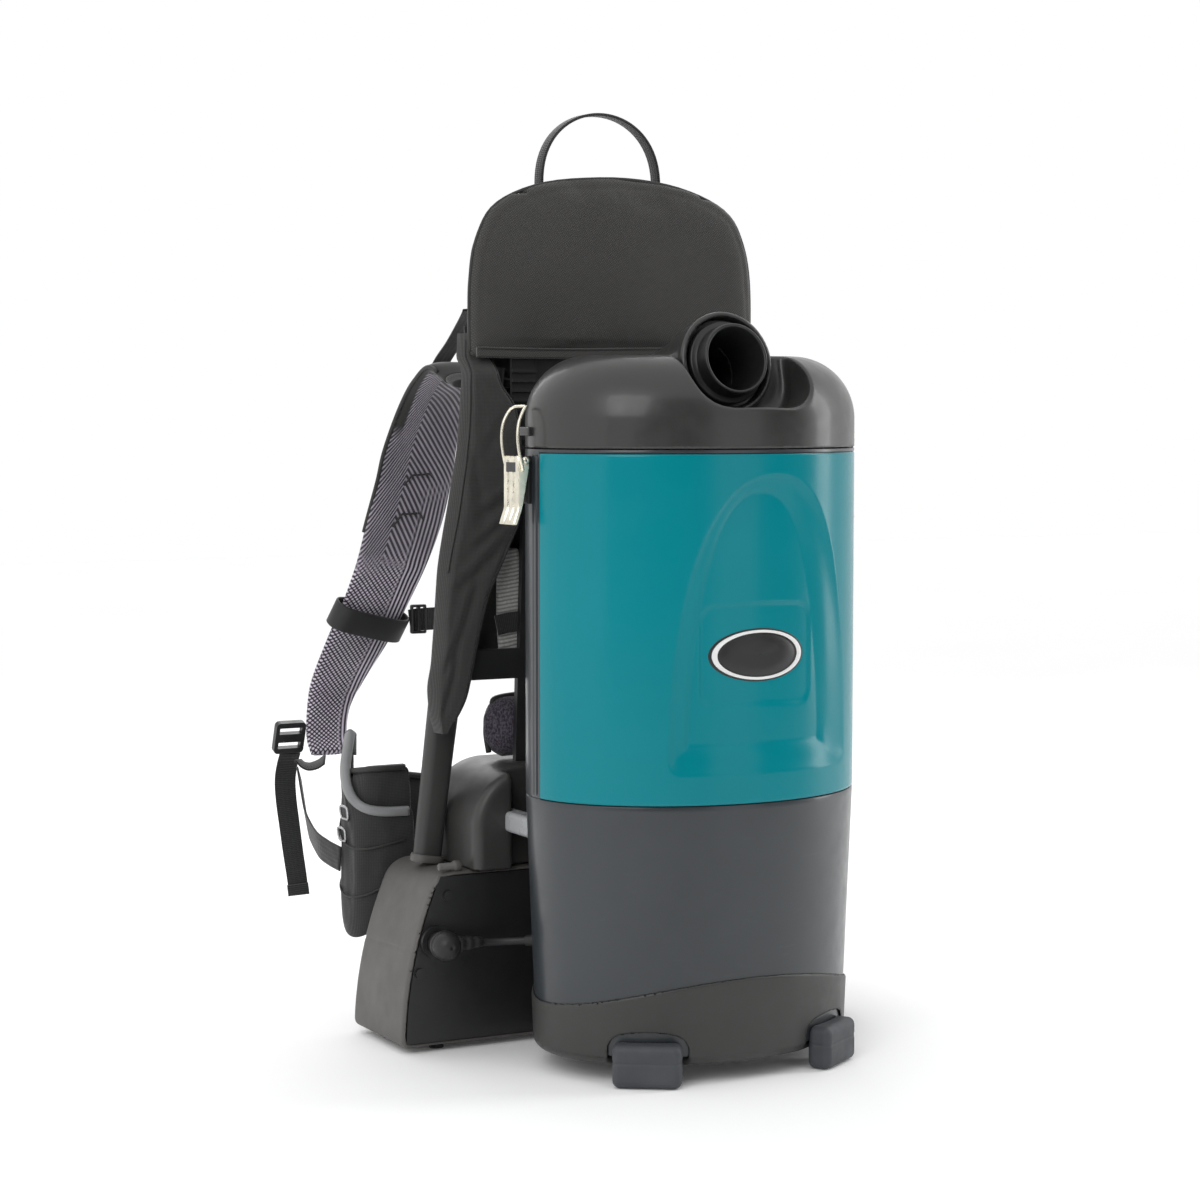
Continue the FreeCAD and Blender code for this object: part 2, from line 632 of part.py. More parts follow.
def ladder_rail():
    """Ribbed webbing ladder in front of the plate that sets the harness height."""
    y = FRAME_Y - 6
    rail = block(-98, -76, y - 3, y, 452, 566)
    for i in range(13):
        z = 458 + 8 * i
        rail = rail.fuse(block(-98, -76, y - 5, y - 3, z, z + 3))
    return rail.removeSplitter()


# ---------------------------------------------------------------- harness
def top_pad():
    """Fabric hood over the top of the back plate."""
    half = [(PAD_HALF, PAD_LOW_Z), (PAD_HALF - 2, 640), (PAD_HALF - 10, 668), (PAD_HALF - 27, 692), (62, 711)]
    points = [V(-x, PAD_FRONT, z) for x, z in half] + [V(0, PAD_FRONT, PAD_TOP_Z)]
    points += [V(x, PAD_FRONT, z) for x, z in reversed(half)]
    curve = Part.BSplineCurve()
    curve.interpolate(points)
    bottom = Part.LineSegment(points[-1], points[0]).toShape()
    pad = Part.Face(Part.Wire([curve.toShape(), bottom])).extrude(V(0, PAD_BACK - PAD_FRONT, 0))
    pad = pad.cut(block(-90, 90, FRAME_Y - 3 - GAP, FRAME_Y + 3 + GAP, PAD_LOW_Z - 1, 703))
    for side in (-1, 1):
        pad = pad.cut(side_block(side, 43, 63, FRAME_Y - 4, PAD_BACK + 1, HANDLE_PIVOT_Z - 9, 740))
    return pad


def carry_handle():
    """Webbing loop above the pad, with an eye at each end for its pin."""
    stations = [(V(-HANDLE_HALF, HANDLE_Y, HANDLE_PIVOT_Z - 8), 14, 2.4)]
    steps = 14
    rise = HANDLE_TOP_Z - 1.2 - (HANDLE_PIVOT_Z + 6)
    for i in range(steps + 1):
        angle = math.pi * i / steps
        x = -HANDLE_HALF * math.cos(angle)
        stations.append((V(x, HANDLE_Y, HANDLE_PIVOT_Z + 6 + rise * math.sin(angle) ** 0.85), 14, 2.4))
    stations.append((V(HANDLE_HALF, HANDLE_Y, HANDLE_PIVOT_Z - 8), 14, 2.4))
    loop = band(stations, across=TO_WEARER)
    for side in (-1, 1):
        loop = loop.cut(rod(V(side * 45, HANDLE_Y, HANDLE_PIVOT_Z), V(side, 0, 0), 3 + RUNNING, 20))
    return loop


def shoulder_strap():
    """Padded strap over the shoulder and down the chest."""
    return band([
        (V(-110, 166, 549), 60, 12), (V(-107, 189, 556), 62, 13), (V(-105, 211, 555), 64, 14),
        (V(-104, 232, 544), 67, 14), (V(-107, 253, 516), 72, 14), (V(-113, 273, 470), 75, 14),
        (V(-122, 284, 427), 74, 14), (V(-130, 294, 391), 68, 14), (V(-140, 308, 355), 64, 14),
        (V(-150, 327, 319), 59, 13), (V(-162, 345, 282), 50, 13), (V(-168, 354, 255), 41, 12),
        (V(-172, 350, 232), 38, 11), (V(-174, 340, 218), 34, 10)],
        roll=(0, 0.15, 0.3, 0.4, 0.35, 0.2, 0.08, 0))


def strap_root():
    """Fabric root that carries the shoulder strap from the yoke."""
    return band([(V(-111, 148.8, 545), 58, 8), (V(-111, 157, 546), 60, 10), (V(-110, 164.6, 548.4), 60, 12)])


def side_panel():
    """Fabric wing panel in front of the upright."""
    outline = [(-137, 562), (-127, 562), (-92, 520), (-92, 482), (-110, 412), (-124, 352), (-140, 270),
               (-172, 270), (-168, 300), (-152, 400), (-138, 480)]
    return plate(outline, FRAME_Y - 16, FRAME_Y - 12.5)


def back_pad():
    """Long pad against the wearer's spine, on a fabric sheet that spans the two uprights."""
    pad = rounded_block(-60, 60, FRAME_Y + 3 + GAP, FRAME_Y + 22, 306, 555, 20, "Y")
    half = [(126, 312), (124, 400), (110, 538)]
    outline = [(-x, z) for x, z in half] + [(x, z) for x, z in reversed(half)]
    return pad.fuse(plate(outline, FRAME_Y + 21.5, FRAME_Y + 24.5)).removeSplitter()


def lumbar_pad():
    """Wide pad at the small of the back."""
    return rounded_block(-108, 108, FRAME_Y + 3 + GAP, FRAME_Y + 36, SADDLE_TOP_Z + 1, 296, 24, "Y")


def mesh_pad():
    """Pale mesh pad beside the spine pad."""
    return band([(V(-92, FRAME_Y + 11, 408), 18, 12), (V(-90, FRAME_Y + 11, 350), 24, 14),
                 (V(-84, FRAME_Y + 11, 302), 30, 14)])


def load_lifter():
    """Webbing from the hood down to the shoulder strap."""
    start = V(-124, PAD_BACK + 2.2, 606)
    return band([(start, 16, 2), (V(-116, 180, 592), 16, 2), (V(-109, 214, 572), 16, 2)])


def sternum_band():
    """Elastic band round the shoulder strap."""
    x, y, z = -145, 317, STERNUM_Z
    outer = rounded_block(x - 37, x + 37, y - 13, y + 13, z - 12, z + 12, 5, "Z")
    ring = outer.cut(block(x - 34.5, x + 34.5, y - 10.5, y + 10.5, z - 13, z + 13))
    ring.rotate(V(x, y, z), V(0, 1, 0), 15)
    ring.rotate(V(x, y, z), V(1, 0, 0), 27)
    return ring


def sternum_straps():
    """Elastic bands and the chest webbing up to the buckle."""
    web = band([(V(-104.5, 314, STERNUM_Z), 20, 2), (V(-70, 308, STERNUM_Z), 20, 2),
                (V(-29, 306, STERNUM_Z), 20, 2)], across=UP)
    return Part.makeCompound([both_sides(sternum_band()), both_sides(web)])


def sternum_buckle():
    """Side-release buckle: a body and a tongue."""
    z = STERNUM_Z
    body = rounded_block(-28.5, 10, 301, 311, z - 13, z + 13, 4, "Y")
    body = body.cut(block(-6, 11, 303, 309, z - 10, z + 10))
    tongue = rounded_block(-4, 28.5, 303.4, 308.6, z - 9, z + 9, 3, "Y")
    return Part.makeCompound([body, tongue])


def ladder_lock():
    """Strap adjuster beside the end of the shoulder strap."""
    frame = rounded_block(-14, 14, -3, 3, -15, 15, 4, "Y")
    for z in (-10, 4):
        frame = frame.cut(block(-10.5, 10.5, -4, 4, z, z + 6))
    frame.rotate(V(0, 0, 0), V(1, 0, 0), 20)
    frame.translate(V(-201, 366.5, 232))
    return frame


def lower_straps():
    """Webbing from the strap's end to the adjuster, on to the belt wing's side, and the loose tail."""
    link = band([(V(-177, 345, 212), 20, 2), (V(-187, 351, 207), 20, 2), (V(-196, 358, 211), 20, 2)],
                across=V(0.3, 0.9, 0.2))
    lower = band([(V(-198, 350, 200), 22, 2), (V(-203, 330, 180), 22, 2), (V(-209, 303, 162), 22, 2),
                  (V(-211, 275, 150), 22, 2), (V(-207, 255, 143), 22, 2), (V(-204, 240, 140), 22, 2)],
                 across=V(-0.1, 0.2, 0.9))
    tail = band([(V(-198, 372, 216), 20, 2), (V(-200, 378, 192), 20, 2), (V(-199, 375, 160), 20, 2),
                 (V(-197, 368, 124), 19, 2), (V(-195, 361, 90), 18, 2)])
    return Part.makeCompound([both_sides(link), both_sides(lower), both_sides(tail)])


def belt_route():
    return [V(-150, 212, 0), V(-176, 214, 0), V(-192, 221, 0), V(-198, 235, 0), V(-196, 250, 0),
            V(-184, 266, 0), V(-160, 278, 0), V(-130, 286, 0), V(-102, 289, 0)]


def belt_wall(route, low, high, thick, shift):
    """An upright wall along a route: low and high give its edges, from 0 at the root to 1."""
    wires = []
    last = len(route) - 1
    for i, point in enumerate(route):
        along = (route[min(i + 1, last)] - route[max(i - 1, 0)]).normalize()
        out = V(-along.y, along.x, 0)
        near = point + out * (shift - thick / 2)
        far = point + out * (shift + thick / 2)
        z0, z1 = low(i / last), high(i / last)
        corners = [V(near.x, near.y, z0), V(far.x, far.y, z0), V(far.x, far.y, z1), V(near.x, near.y, z1)]
        wires.append(Part.makePolygon(corners + corners[:1]))
    return Part.makeLoft(wires, True, True)


def belt_wing():
    """Outer belt wing, whose front end rises to a tip, and its inner pad."""
    outer = belt_wall(belt_route()[:6], lambda t: 100 - 28 * math.sin(math.pi * min(t * 0.9, 1)),
                      lambda t: 186 + 66 * t ** 3, 8, 0)
    inner = belt_wall(belt_route(), lambda t: 108 - 20 * math.sin(math.pi * t),
                      lambda t: 221 - 20 * t ** 2, 8, -9)
    return Part.makeCompound([outer, inner])


def belt_web():
    """Webbing at the front end of the belt wing."""
    stations = [(V(-118, 285.2, 150), 38, 2), (V(-102, 287.4, 149), 38, 2), (V(-86.4, 288, 148), 38, 2)]
    return band(stations, across=UP)


def belt_tongue():
    """Tongue half of the open belt buckle."""
    tongue = rounded_block(-85.6, -56, 284, 292, 127, 169, 5, "Y")
    for z in (135, 153):
        tongue = tongue.cut(block(-74, -55, 283, 293, z, z + 8))
    return tongue


def belt_buckle():
    """Body half of the open belt buckle."""
    body = rounded_block(54, 85.6, 281.5, 294.5, 125, 171, 5, "Y")
    return body.cut(block(53, 74, 284, 292, 129, 167))


# ---------------------------------------------------------------- assembly
def build():
    for maker in (canister_tub, front_cover, badge, lid, lid_seal, inlet_cuff, inlet_retainer, base_bumper,
                  motor_body, fan_shroud, fan_rotor, motor_mounts, exhaust_filter, filter_basket,
                  cloth_filter, dust_bag, battery_box, box_cover, box_screws, box_feet, battery_pack,
                  power_socket, plug, power_switch, switch_bezel, battery_lead, lead_gland, saddle,
                  mount_lugs, back_plate, top_pad, carry_handle, back_pad, lumbar_pad, sternum_straps,
                  sternum_buckle, lower_straps, belt_tongue, belt_buckle):
        add(maker.__name__, maker())
    for name, left in (("front_feet", front_foot()), ("latch_brackets", latch_bracket()),
                       ("cord_hooks", cord_hook()), ("ladder_rails", ladder_rail()),
                       ("strap_roots", strap_root()), ("side_panels", side_panel()),
                       ("mesh_pads", mesh_pad()), ("load_lifters", load_lifter()),
                       ("ladder_locks", ladder_lock())):
        add(name, both_sides(left))
    for name, left in (("latch_lever", latch_lever()), ("latch_bail", latch_bail()),
                       ("frame_upright", upright()), ("shoulder_strap", shoulder_strap()),
                       ("belt_wing", belt_wing()), ("belt_web", belt_web())):
        add_pair(name, left)


def main():
    build()
    whole = FreeCAD.BoundBox()
    for shape in PARTS.values():
        whole.add(shape.optimalBoundingBox())
    shift = V(0, -(whole.YMin + whole.YMax) / 2, 0)
    sizes = [round(v, 1) for v in (whole.XLength, whole.YLength, whole.ZLength)]
    print("whole", sizes, "axis at y", round(shift.y, 2), "nodes", len(PARTS))
    os.makedirs("parts", exist_ok=True)
    for name, shape in PARTS.items():
        moved = shape.copy()
        moved.translate(shift)
        moved.exportStep(os.path.join("parts", name + ".step"))


main()
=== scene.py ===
"""Backpack vacuum cleaner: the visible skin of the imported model.

Shapes are worked out in millimetres about the canister's axis (X to the right, -Y towards the
canister's front, Z up from the floor), as the design is drawn, and place() puts them into the
frame, in metres."""
import json
import math

import bmesh
import bpy
import numpy as np
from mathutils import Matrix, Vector


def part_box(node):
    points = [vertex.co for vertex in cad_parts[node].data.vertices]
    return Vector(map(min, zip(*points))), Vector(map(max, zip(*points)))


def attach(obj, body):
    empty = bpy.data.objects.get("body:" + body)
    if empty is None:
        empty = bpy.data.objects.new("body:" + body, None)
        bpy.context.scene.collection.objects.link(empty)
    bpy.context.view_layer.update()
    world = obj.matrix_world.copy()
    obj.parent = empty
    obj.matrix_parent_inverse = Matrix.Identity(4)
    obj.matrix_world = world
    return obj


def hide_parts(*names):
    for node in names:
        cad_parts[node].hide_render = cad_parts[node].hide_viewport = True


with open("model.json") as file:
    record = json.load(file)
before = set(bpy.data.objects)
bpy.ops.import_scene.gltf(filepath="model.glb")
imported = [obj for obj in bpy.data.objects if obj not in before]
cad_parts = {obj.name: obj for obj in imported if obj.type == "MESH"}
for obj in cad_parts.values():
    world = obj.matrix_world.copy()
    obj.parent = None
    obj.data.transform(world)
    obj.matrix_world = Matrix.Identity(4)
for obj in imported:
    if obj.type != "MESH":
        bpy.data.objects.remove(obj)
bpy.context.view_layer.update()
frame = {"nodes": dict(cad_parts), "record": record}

MM = 0.001

# ---------------------------------------------------------------- places taken from the frame
tub_low, tub_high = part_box("canister_tub")
AXIS_Y = (tub_low.y + tub_high.y) / 2 + 0.006      # the oval is 12 mm deeper at its front
HALF_WIDTH = (tub_high.x - tub_low.x) / 2 / MM
FRONT, BACK = 108.0, 96.0
SEAM_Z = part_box("lid")[0].z / MM + 8
LID_TOP = 566.0
COVER_Z0, COVER_Z1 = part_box("front_cover")[0].z / MM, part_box("front_cover")[1].z / MM
COVER_EDGE_Y = -8.3
TAPER, TAPER_TOP, TAPER_RUN = 8.0, 219.0, 197.0    # the tub narrows by this much, from this height, over this drop
WALL = 3.0
LATCH_Y = 13.0


def place(points):
    """Millimetres about the canister's axis to metres in the frame."""
    out = np.asarray(points, float) * MM
    out[:, 1] += AXIS_Y
    return out


def tub_inset(z):
    """How far the tub's lower wall leans in at height z."""
    return TAPER * (TAPER_TOP - z) / TAPER_RUN


def spot(x, y, z):
    return Vector((x * MM, y * MM + AXIS_Y, z * MM))


# ---------------------------------------------------------------- materials
class Mat:
    """A Principled material with short names for the nodes that vary it."""

    def __init__(self, name, colour, rough, metallic=0.0, coat=0.0, sheen=0.0, specular=0.5):
        self.material = bpy.data.materials.new(name)
        self.material.use_nodes = True
        self.tree = self.material.node_tree
        self.bsdf = self.tree.nodes["Principled BSDF"]
        self.colour = tuple(colour) + (1.0,)
        self.bsdf.inputs["Base Color"].default_value = self.colour
        self.bsdf.inputs["Roughness"].default_value = rough
        self.bsdf.inputs["Metallic"].default_value = metallic
        self.bsdf.inputs["Coat Weight"].default_value = coat
        self.bsdf.inputs["Coat Roughness"].default_value = 0.12
        self.bsdf.inputs["Sheen Weight"].default_value = sheen
        self.bsdf.inputs["Sheen Roughness"].default_value = 0.4
        self.bsdf.inputs["Specular IOR Level"].default_value = specular
        self.rough = rough
        self.last_normal = None
        self.coords = self.tree.nodes.new("ShaderNodeTexCoord")

    def node(self, kind, **values):
        made = self.tree.nodes.new(kind)
        for key, value in values.items():
            setattr(made, key, value)
        return made

    def link(self, a, b):
        self.tree.links.new(a, b)

    def mapped(self, scale=(1, 1, 1), turn=(0, 0, 0), uv=False):
        """Coordinates, in metres on the object or as UV in millimetres, scaled and turned."""
        node = self.node("ShaderNodeMapping")
        node.inputs["Scale"].default_value = scale
        node.inputs["Rotation"].default_value = [math.radians(t) for t in turn]
        self.link(self.coords.outputs["UV" if uv else "Object"], node.inputs["Vector"])
        return node.outputs["Vector"]

    def noise(self, scale, detail=3.0, stretch=(1, 1, 1), uv=False):
        node = self.node("ShaderNodeTexNoise")
        node.inputs["Scale"].default_value = scale
        node.inputs["Detail"].default_value = detail
        self.link(self.mapped(stretch, uv=uv), node.inputs["Vector"])
        return node.outputs["Fac"]

    def cells(self, scale, stretch):
        node = self.node("ShaderNodeTexVoronoi")
        node.inputs["Scale"].default_value = scale
        self.link(self.mapped(stretch), node.inputs["Vector"])
        return node.outputs["Distance"]

    def wave(self, scale, turn=(0, 0, 0), distortion=0.0, uv=False, direction="X"):
        node = self.node("ShaderNodeTexWave", bands_direction=direction)
        node.inputs["Scale"].default_value = scale
        node.inputs["Distortion"].default_value = distortion
        self.link(self.mapped(turn=turn, uv=uv), node.inputs["Vector"])
        return node.outputs["Fac"]

    def maths(self, operation, a, b=0.0, c=0.0):
        node = self.node("ShaderNodeMath", operation=operation)
        for socket, value in zip(node.inputs, (a, b, c)):
            if isinstance(value, (int, float)):
                socket.default_value = value
            else:
                self.link(value, socket)
        return node.outputs[0]

    def spread(self, value, low, high, to_low, to_high, clamp=True):
        node = self.node("ShaderNodeMapRange", clamp=clamp)
        self.link(value, node.inputs["Value"])
        for name, number in (("From Min", low), ("From Max", high), ("To Min", to_low), ("To Max", to_high)):
            node.inputs[name].default_value = number
        return node.outputs["Result"]

    def mix(self, amount, a, b):
        """A colour between a and b, each a colour or a socket."""
        node = self.node("ShaderNodeMix", data_type="RGBA")
        for index, value in ((0, amount), (6, a), (7, b)):
            if hasattr(value, "is_linked"):
                self.link(value, node.inputs[index])
            elif index == 0:
                node.inputs[0].default_value = value
            else:
                node.inputs[index].default_value = tuple(value)[:3] + (1.0,)
        return node.outputs[2]

    def paint(self, socket):
        self.link(socket, self.bsdf.inputs["Base Color"])

    def vary_colour(self, amount, scale, detail=2.0):
        """Lightens and darkens the base colour a little over the surface."""
        shade = self.spread(self.noise(scale, detail), 0.3, 0.7, 0.0, 1.0)
        dark = [c * (1 - amount) for c in self.colour]
        light = [min(1.0, c * (1 + amount)) for c in self.colour]
        painted = self.mix(shade, dark, light)
        self.paint(painted)
        return painted

    def vary_rough(self, amount, scale):
        value = self.spread(self.noise(scale, 4.0), 0.3, 0.7, self.rough - amount, self.rough + amount)
        self.link(value, self.bsdf.inputs["Roughness"])

    def bump(self, height, depth_mm, strength=1.0):
        node = self.node("ShaderNodeBump")
        node.inputs["Strength"].default_value = strength
        node.inputs["Distance"].default_value = depth_mm * MM
        self.link(height, node.inputs["Height"])
        if self.last_normal is not None:
            self.link(self.last_normal, node.inputs["Normal"])
        self.last_normal = node.outputs["Normal"]
        self.link(self.last_normal, self.bsdf.inputs["Normal"])


def moulded(name, colour, rough, grain=0.02, coat=0.0, specular=0.5, scuffs=0.0):
    """Injection-moulded plastic: a fine leathered grain, faint flow shading and light scuffs."""
    mat = Mat(name, colour, rough, coat=coat, specular=specular)
    painted = mat.vary_colour(0.10, 9.0)
    mat.vary_rough(0.06, 60.0)
    if scuffs:
        streaks = mat.spread(mat.noise(40.0, 8.0, stretch=(1.0, 1.0, 6.0)), 0.64, 0.74, 0.0, scuffs)
        mat.paint(mat.mix(streaks, painted, [min(1.0, c * 1.6 + 0.03) for c in colour]))
    mat.bump(mat.noise(1300.0, 2.0), grain)
    mat.bump(mat.noise(24.0, 1.0), 0.06)
    return mat.material


def rubbery(name, colour, rough=0.62):
    mat = Mat(name, colour, rough, specular=0.35)
    mat.vary_colour(0.14, 30.0)
    mat.vary_rough(0.08, 90.0)
    mat.bump(mat.noise(900.0, 3.0), 0.03)
    return mat.material


def metal(name, colour, rough, brushed=(1, 1, 30)):
    mat = Mat(name, colour, rough, metallic=1.0)
    mat.vary_colour(0.12, 120.0)
    mat.vary_rough(0.07, 200.0)
    mat.bump(mat.noise(260.0, 3.0, stretch=brushed), 0.02)
    return mat.material


def woven(name, colour, period_mm, depth_mm, rough=0.85, sheen=0.25, turn=(0, 0, 0), fleck=0.25):
    """Plain weave drawn by two crossed sets of threads in the plane that faces front and back."""
    mat = Mat(name, colour, rough, sheen=sheen, specular=0.25)
    per_metre = math.pi / (period_mm * MM) / 10.0
    warp = mat.wave(per_metre, turn=turn, distortion=0.6)
    weft = mat.wave(per_metre, turn=turn, distortion=0.6, direction="Z")
    threads = mat.maths("MULTIPLY", warp, weft)
    light = [min(1.0, c * (1 + 1.6 * fleck) + 0.004) for c in colour]
    dark = [c * (1 - fleck) for c in colour]
    base = mat.mix(mat.spread(threads, 0.1, 0.8, 0.0, 1.0), dark, light)
    cloud = mat.spread(mat.noise(14.0, 4.0), 0.3, 0.7, 0.0, 0.35)
    mat.paint(mat.mix(cloud, base, [c * 1.25 + 0.003 for c in colour]))
    mat.bump(threads, depth_mm)
    mat.bump(mat.noise(420.0, 4.0), 0.12)
    return mat.material


def ribbed_webbing(name, colour):
    """Flat webbing: ribs across its length, drawn along its own UV."""
    mat = Mat(name, colour, 0.7, sheen=0.3, specular=0.35)
    ribs = mat.wave(0.19, uv=True, direction="Y")
    edge = mat.wave(0.085, uv=True, direction="X")
    dark, light = [c * 0.6 for c in colour], [c * 1.5 + 0.006 for c in colour]
    mat.paint(mat.mix(mat.spread(ribs, 0.2, 0.9, 0.0, 1.0), dark, light))
    mat.bump(ribs, 0.30)
    mat.bump(edge, 0.12)
    return mat.material


GREY_BLUE = moulded("grey_blue_plastic", (0.026, 0.031, 0.036), 0.34, coat=0.22, scuffs=0.10)
DARK = moulded("dark_plastic", (0.026, 0.0255, 0.025), 0.36, grain=0.015, coat=0.2)
BASE_DARK = moulded("base_plastic", (0.033, 0.0325, 0.031), 0.46, grain=0.03)
BLACK = moulded("black_plastic", (0.014, 0.014, 0.015), 0.40)
BOX_GREY = moulded("box_plastic", (0.084, 0.079, 0.074), 0.50, grain=0.03)
FRAME_BLACK = moulded("frame_plastic", (0.036, 0.035, 0.034), 0.42)
PALE = moulded("pale_plastic", (0.36, 0.37, 0.38), 0.28, coat=0.3)
ZINC = metal("zinc_plate", (0.78, 0.74, 0.62), 0.30)
STEEL = metal("turned_steel", (0.45, 0.45, 0.46), 0.34)
ALUMINIUM = metal("cast_aluminium", (0.62, 0.62, 0.64), 0.42, brushed=(1, 1, 1))
SEAL = rubbery("seal_rubber", (0.016, 0.016, 0.017))
FOOT = rubbery("foot_rubber", (0.056, 0.060, 0.067), 0.55)
SOFT_BLACK = rubbery("soft_black", (0.020, 0.020, 0.021), 0.45)
HOOD_CLOTH = woven("hood_cloth", (0.052, 0.051, 0.049), 1.6, 0.22, turn=(0, 35, 0))
PANEL_CLOTH = woven("panel_cloth", (0.046, 0.045, 0.044), 1.1, 0.14)
BELT_CLOTH = woven("belt_cloth", (0.036, 0.036, 0.037), 1.3, 0.16)
FELT = woven("filter_felt", (0.66, 0.64, 0.58), 2.4, 0.2, fleck=0.08)
WEBBING = ribbed_webbing("webbing", (0.014, 0.014, 0.015))


def strap_mesh():
    """Shoulder strap face: threads that meet in chevrons on a spine, open dots lower down, dark root."""
    mat = Mat("strap_mesh", (0.20, 0.16, 0.20), 0.78, sheen=0.35, specular=0.25)
    split = mat.node("ShaderNodeSeparateXYZ")
    mat.link(mat.mapped(uv=True), split.inputs[0])
    u, v = split.outputs[0], split.outputs[1]
    away = mat.maths("ABSOLUTE", mat.maths("ADD", u, 13.0))
    left = mat.maths("LESS_THAN", u, -13.0)
    lean = mat.maths("ADD", 0.80, mat.maths("MULTIPLY", left, 0.55))
    phase = mat.maths("SUBTRACT", mat.maths("MULTIPLY", v, 0.62), mat.maths("MULTIPLY", away, lean))
    rows = mat.maths("SINE", mat.maths("MULTIPLY", phase, 2 * math.pi / 3.9))
    rows = mat.spread(rows, -0.35, 0.65, 0.0, 1.0)
    knit = mat.maths("SINE", mat.maths("MULTIPLY", mat.maths("ADD", v, mat.maths("MULTIPLY", u, 0.4)), 4.2))
    rows = mat.maths("MULTIPLY", rows, mat.spread(knit, -1.0, 1.0, 0.78, 1.0))
    a = mat.maths("SINE", mat.maths("MULTIPLY", mat.maths("ADD", u, v), math.pi / 4.4))
    b = mat.maths("SINE", mat.maths("MULTIPLY", mat.maths("SUBTRACT", u, v), math.pi / 4.4))
    dots = mat.spread(mat.maths("ABSOLUTE", mat.maths("MULTIPLY", a, b)), 0.25, 0.75, 0.0, 1.0)
    columns = mat.spread(mat.maths("SINE", mat.maths("MULTIPLY", u, 2 * math.pi / 4.2)), -0.3, 0.6, 0.0, 1.0)
    low = mat.spread(v, 236.0, 262.0, 0.0, 1.0)
    right = mat.maths("MULTIPLY", mat.spread(u, 8.0, 13.0, 0.0, 1.0), mat.spread(v, 176.0, 200.0, 0.0, 1.0))
    figure = mat.node("ShaderNodeMix")
    for index, value in ((0, low), (2, rows), (3, dots)):
        mat.link(value, figure.inputs[index])
    mixed = mat.node("ShaderNodeMix")
    for index, value in ((0, right), (2, figure.outputs[0]), (3, columns)):
        mat.link(value, mixed.inputs[index])
    threads = mixed.outputs[0]
    shade = mat.spread(mat.noise(30.0, 3.0), 0.3, 0.7, 0.86, 1.12)
    mesh = mat.mix(threads, (0.050, 0.043, 0.056), (0.40, 0.365, 0.425))
    pale = mat.mix(threads, (0.034, 0.028, 0.040), (0.66, 0.60, 0.70))
    mesh = mat.mix(low, mesh, pale)
    edge = mat.maths("SUBTRACT", u, mat.maths("MULTIPLY", v, 0.33))
    root = mat.maths("MAXIMUM", mat.spread(edge, -8.5, -7.9, 0.0, 1.0), mat.spread(v, 34.0, 33.0, 0.0, 1.0))
    root = mat.maths("MULTIPLY", root, mat.spread(v, 150.0, 128.0, 0.0, 1.0))
    binding = mat.maths("MULTIPLY", mat.spread(u, -29.5, -31.0, 0.0, 1.0), mat.spread(v, 128.0, 112.0, 0.0, 1.0))
    dark = mat.maths("MAXIMUM", root, binding)
    scaled = mat.node("ShaderNodeMix", data_type="RGBA", blend_type="MULTIPLY")
    scaled.inputs[0].default_value = 1.0
    mat.link(mesh, scaled.inputs[6])
    grey = mat.node("ShaderNodeCombineColor")
    for k in range(3):
        mat.link(shade, grey.inputs[k])
    mat.link(grey.outputs[0], scaled.inputs[7])
    mat.paint(mat.mix(dark, scaled.outputs[2], (0.030, 0.030, 0.029)))
    mat.bump(mat.maths("MULTIPLY", threads, mat.spread(dark, 0.0, 1.0, 1.0, 0.0)), 0.5)
    mat.bump(mat.noise(500.0, 3.0), 0.08)
    return mat.material


def fleece(name, dark, light):
    """Brushed knit: short flecks of two tones."""
    mat = Mat(name, light, 0.9, sheen=0.5, specular=0.15)
    fleck = mat.noise(760.0, 4.0, stretch=(1.0, 1.0, 0.6))
    mat.paint(mat.mix(mat.spread(fleck, 0.40, 0.62, 0.0, 1.0), dark, light))
    mat.bump(fleck, 0.5)
    return mat.material


def rib_knit(name, dark, light, period_mm):
    """Pale spacer mesh: fine rows of open knit."""
    mat = Mat(name, light, 0.85, sheen=0.3, specular=0.2)
    rows = mat.wave(math.pi / (period_mm * MM) / 10.0, turn=(0, 8, 0), distortion=1.2, direction="Z")
    holes = mat.cells(420.0, stretch=(1.0, 1.0, 1.6))
    figure = mat.maths("MULTIPLY", mat.spread(rows, 0.15, 0.75, 0.25, 1.0), mat.spread(holes, 0.05, 0.5, 1.0, 0.6))
    mat.paint(mat.mix(figure, dark, light))
    mat.bump(figure, 0.6)
    return mat.material


STRAP_MESH = strap_mesh()
FLEECE = fleece("lumbar_fleece", (0.030, 0.025, 0.034), (0.105, 0.092, 0.118))
PALE_KNIT = rib_knit("pale_knit", (0.16, 0.16, 0.155), (0.60, 0.60, 0.58), 3.2)
PALE_LIP = rubbery("belt_lip", (0.225, 0.228, 0.232), 0.42)


def teal_plastic():
    """Glossy coloured shell: clear top coat over a very faint orange peel."""
    mat = Mat("teal_plastic", (0.0, 0.205, 0.245), 0.24, specular=0.2, coat=0.05)
    mat.vary_colour(0.035, 5.0)
    mat.vary_rough(0.03, 30.0)
    mat.bump(mat.noise(110.0, 2.0), 0.02)
    return mat.material


TEAL = teal_plastic()


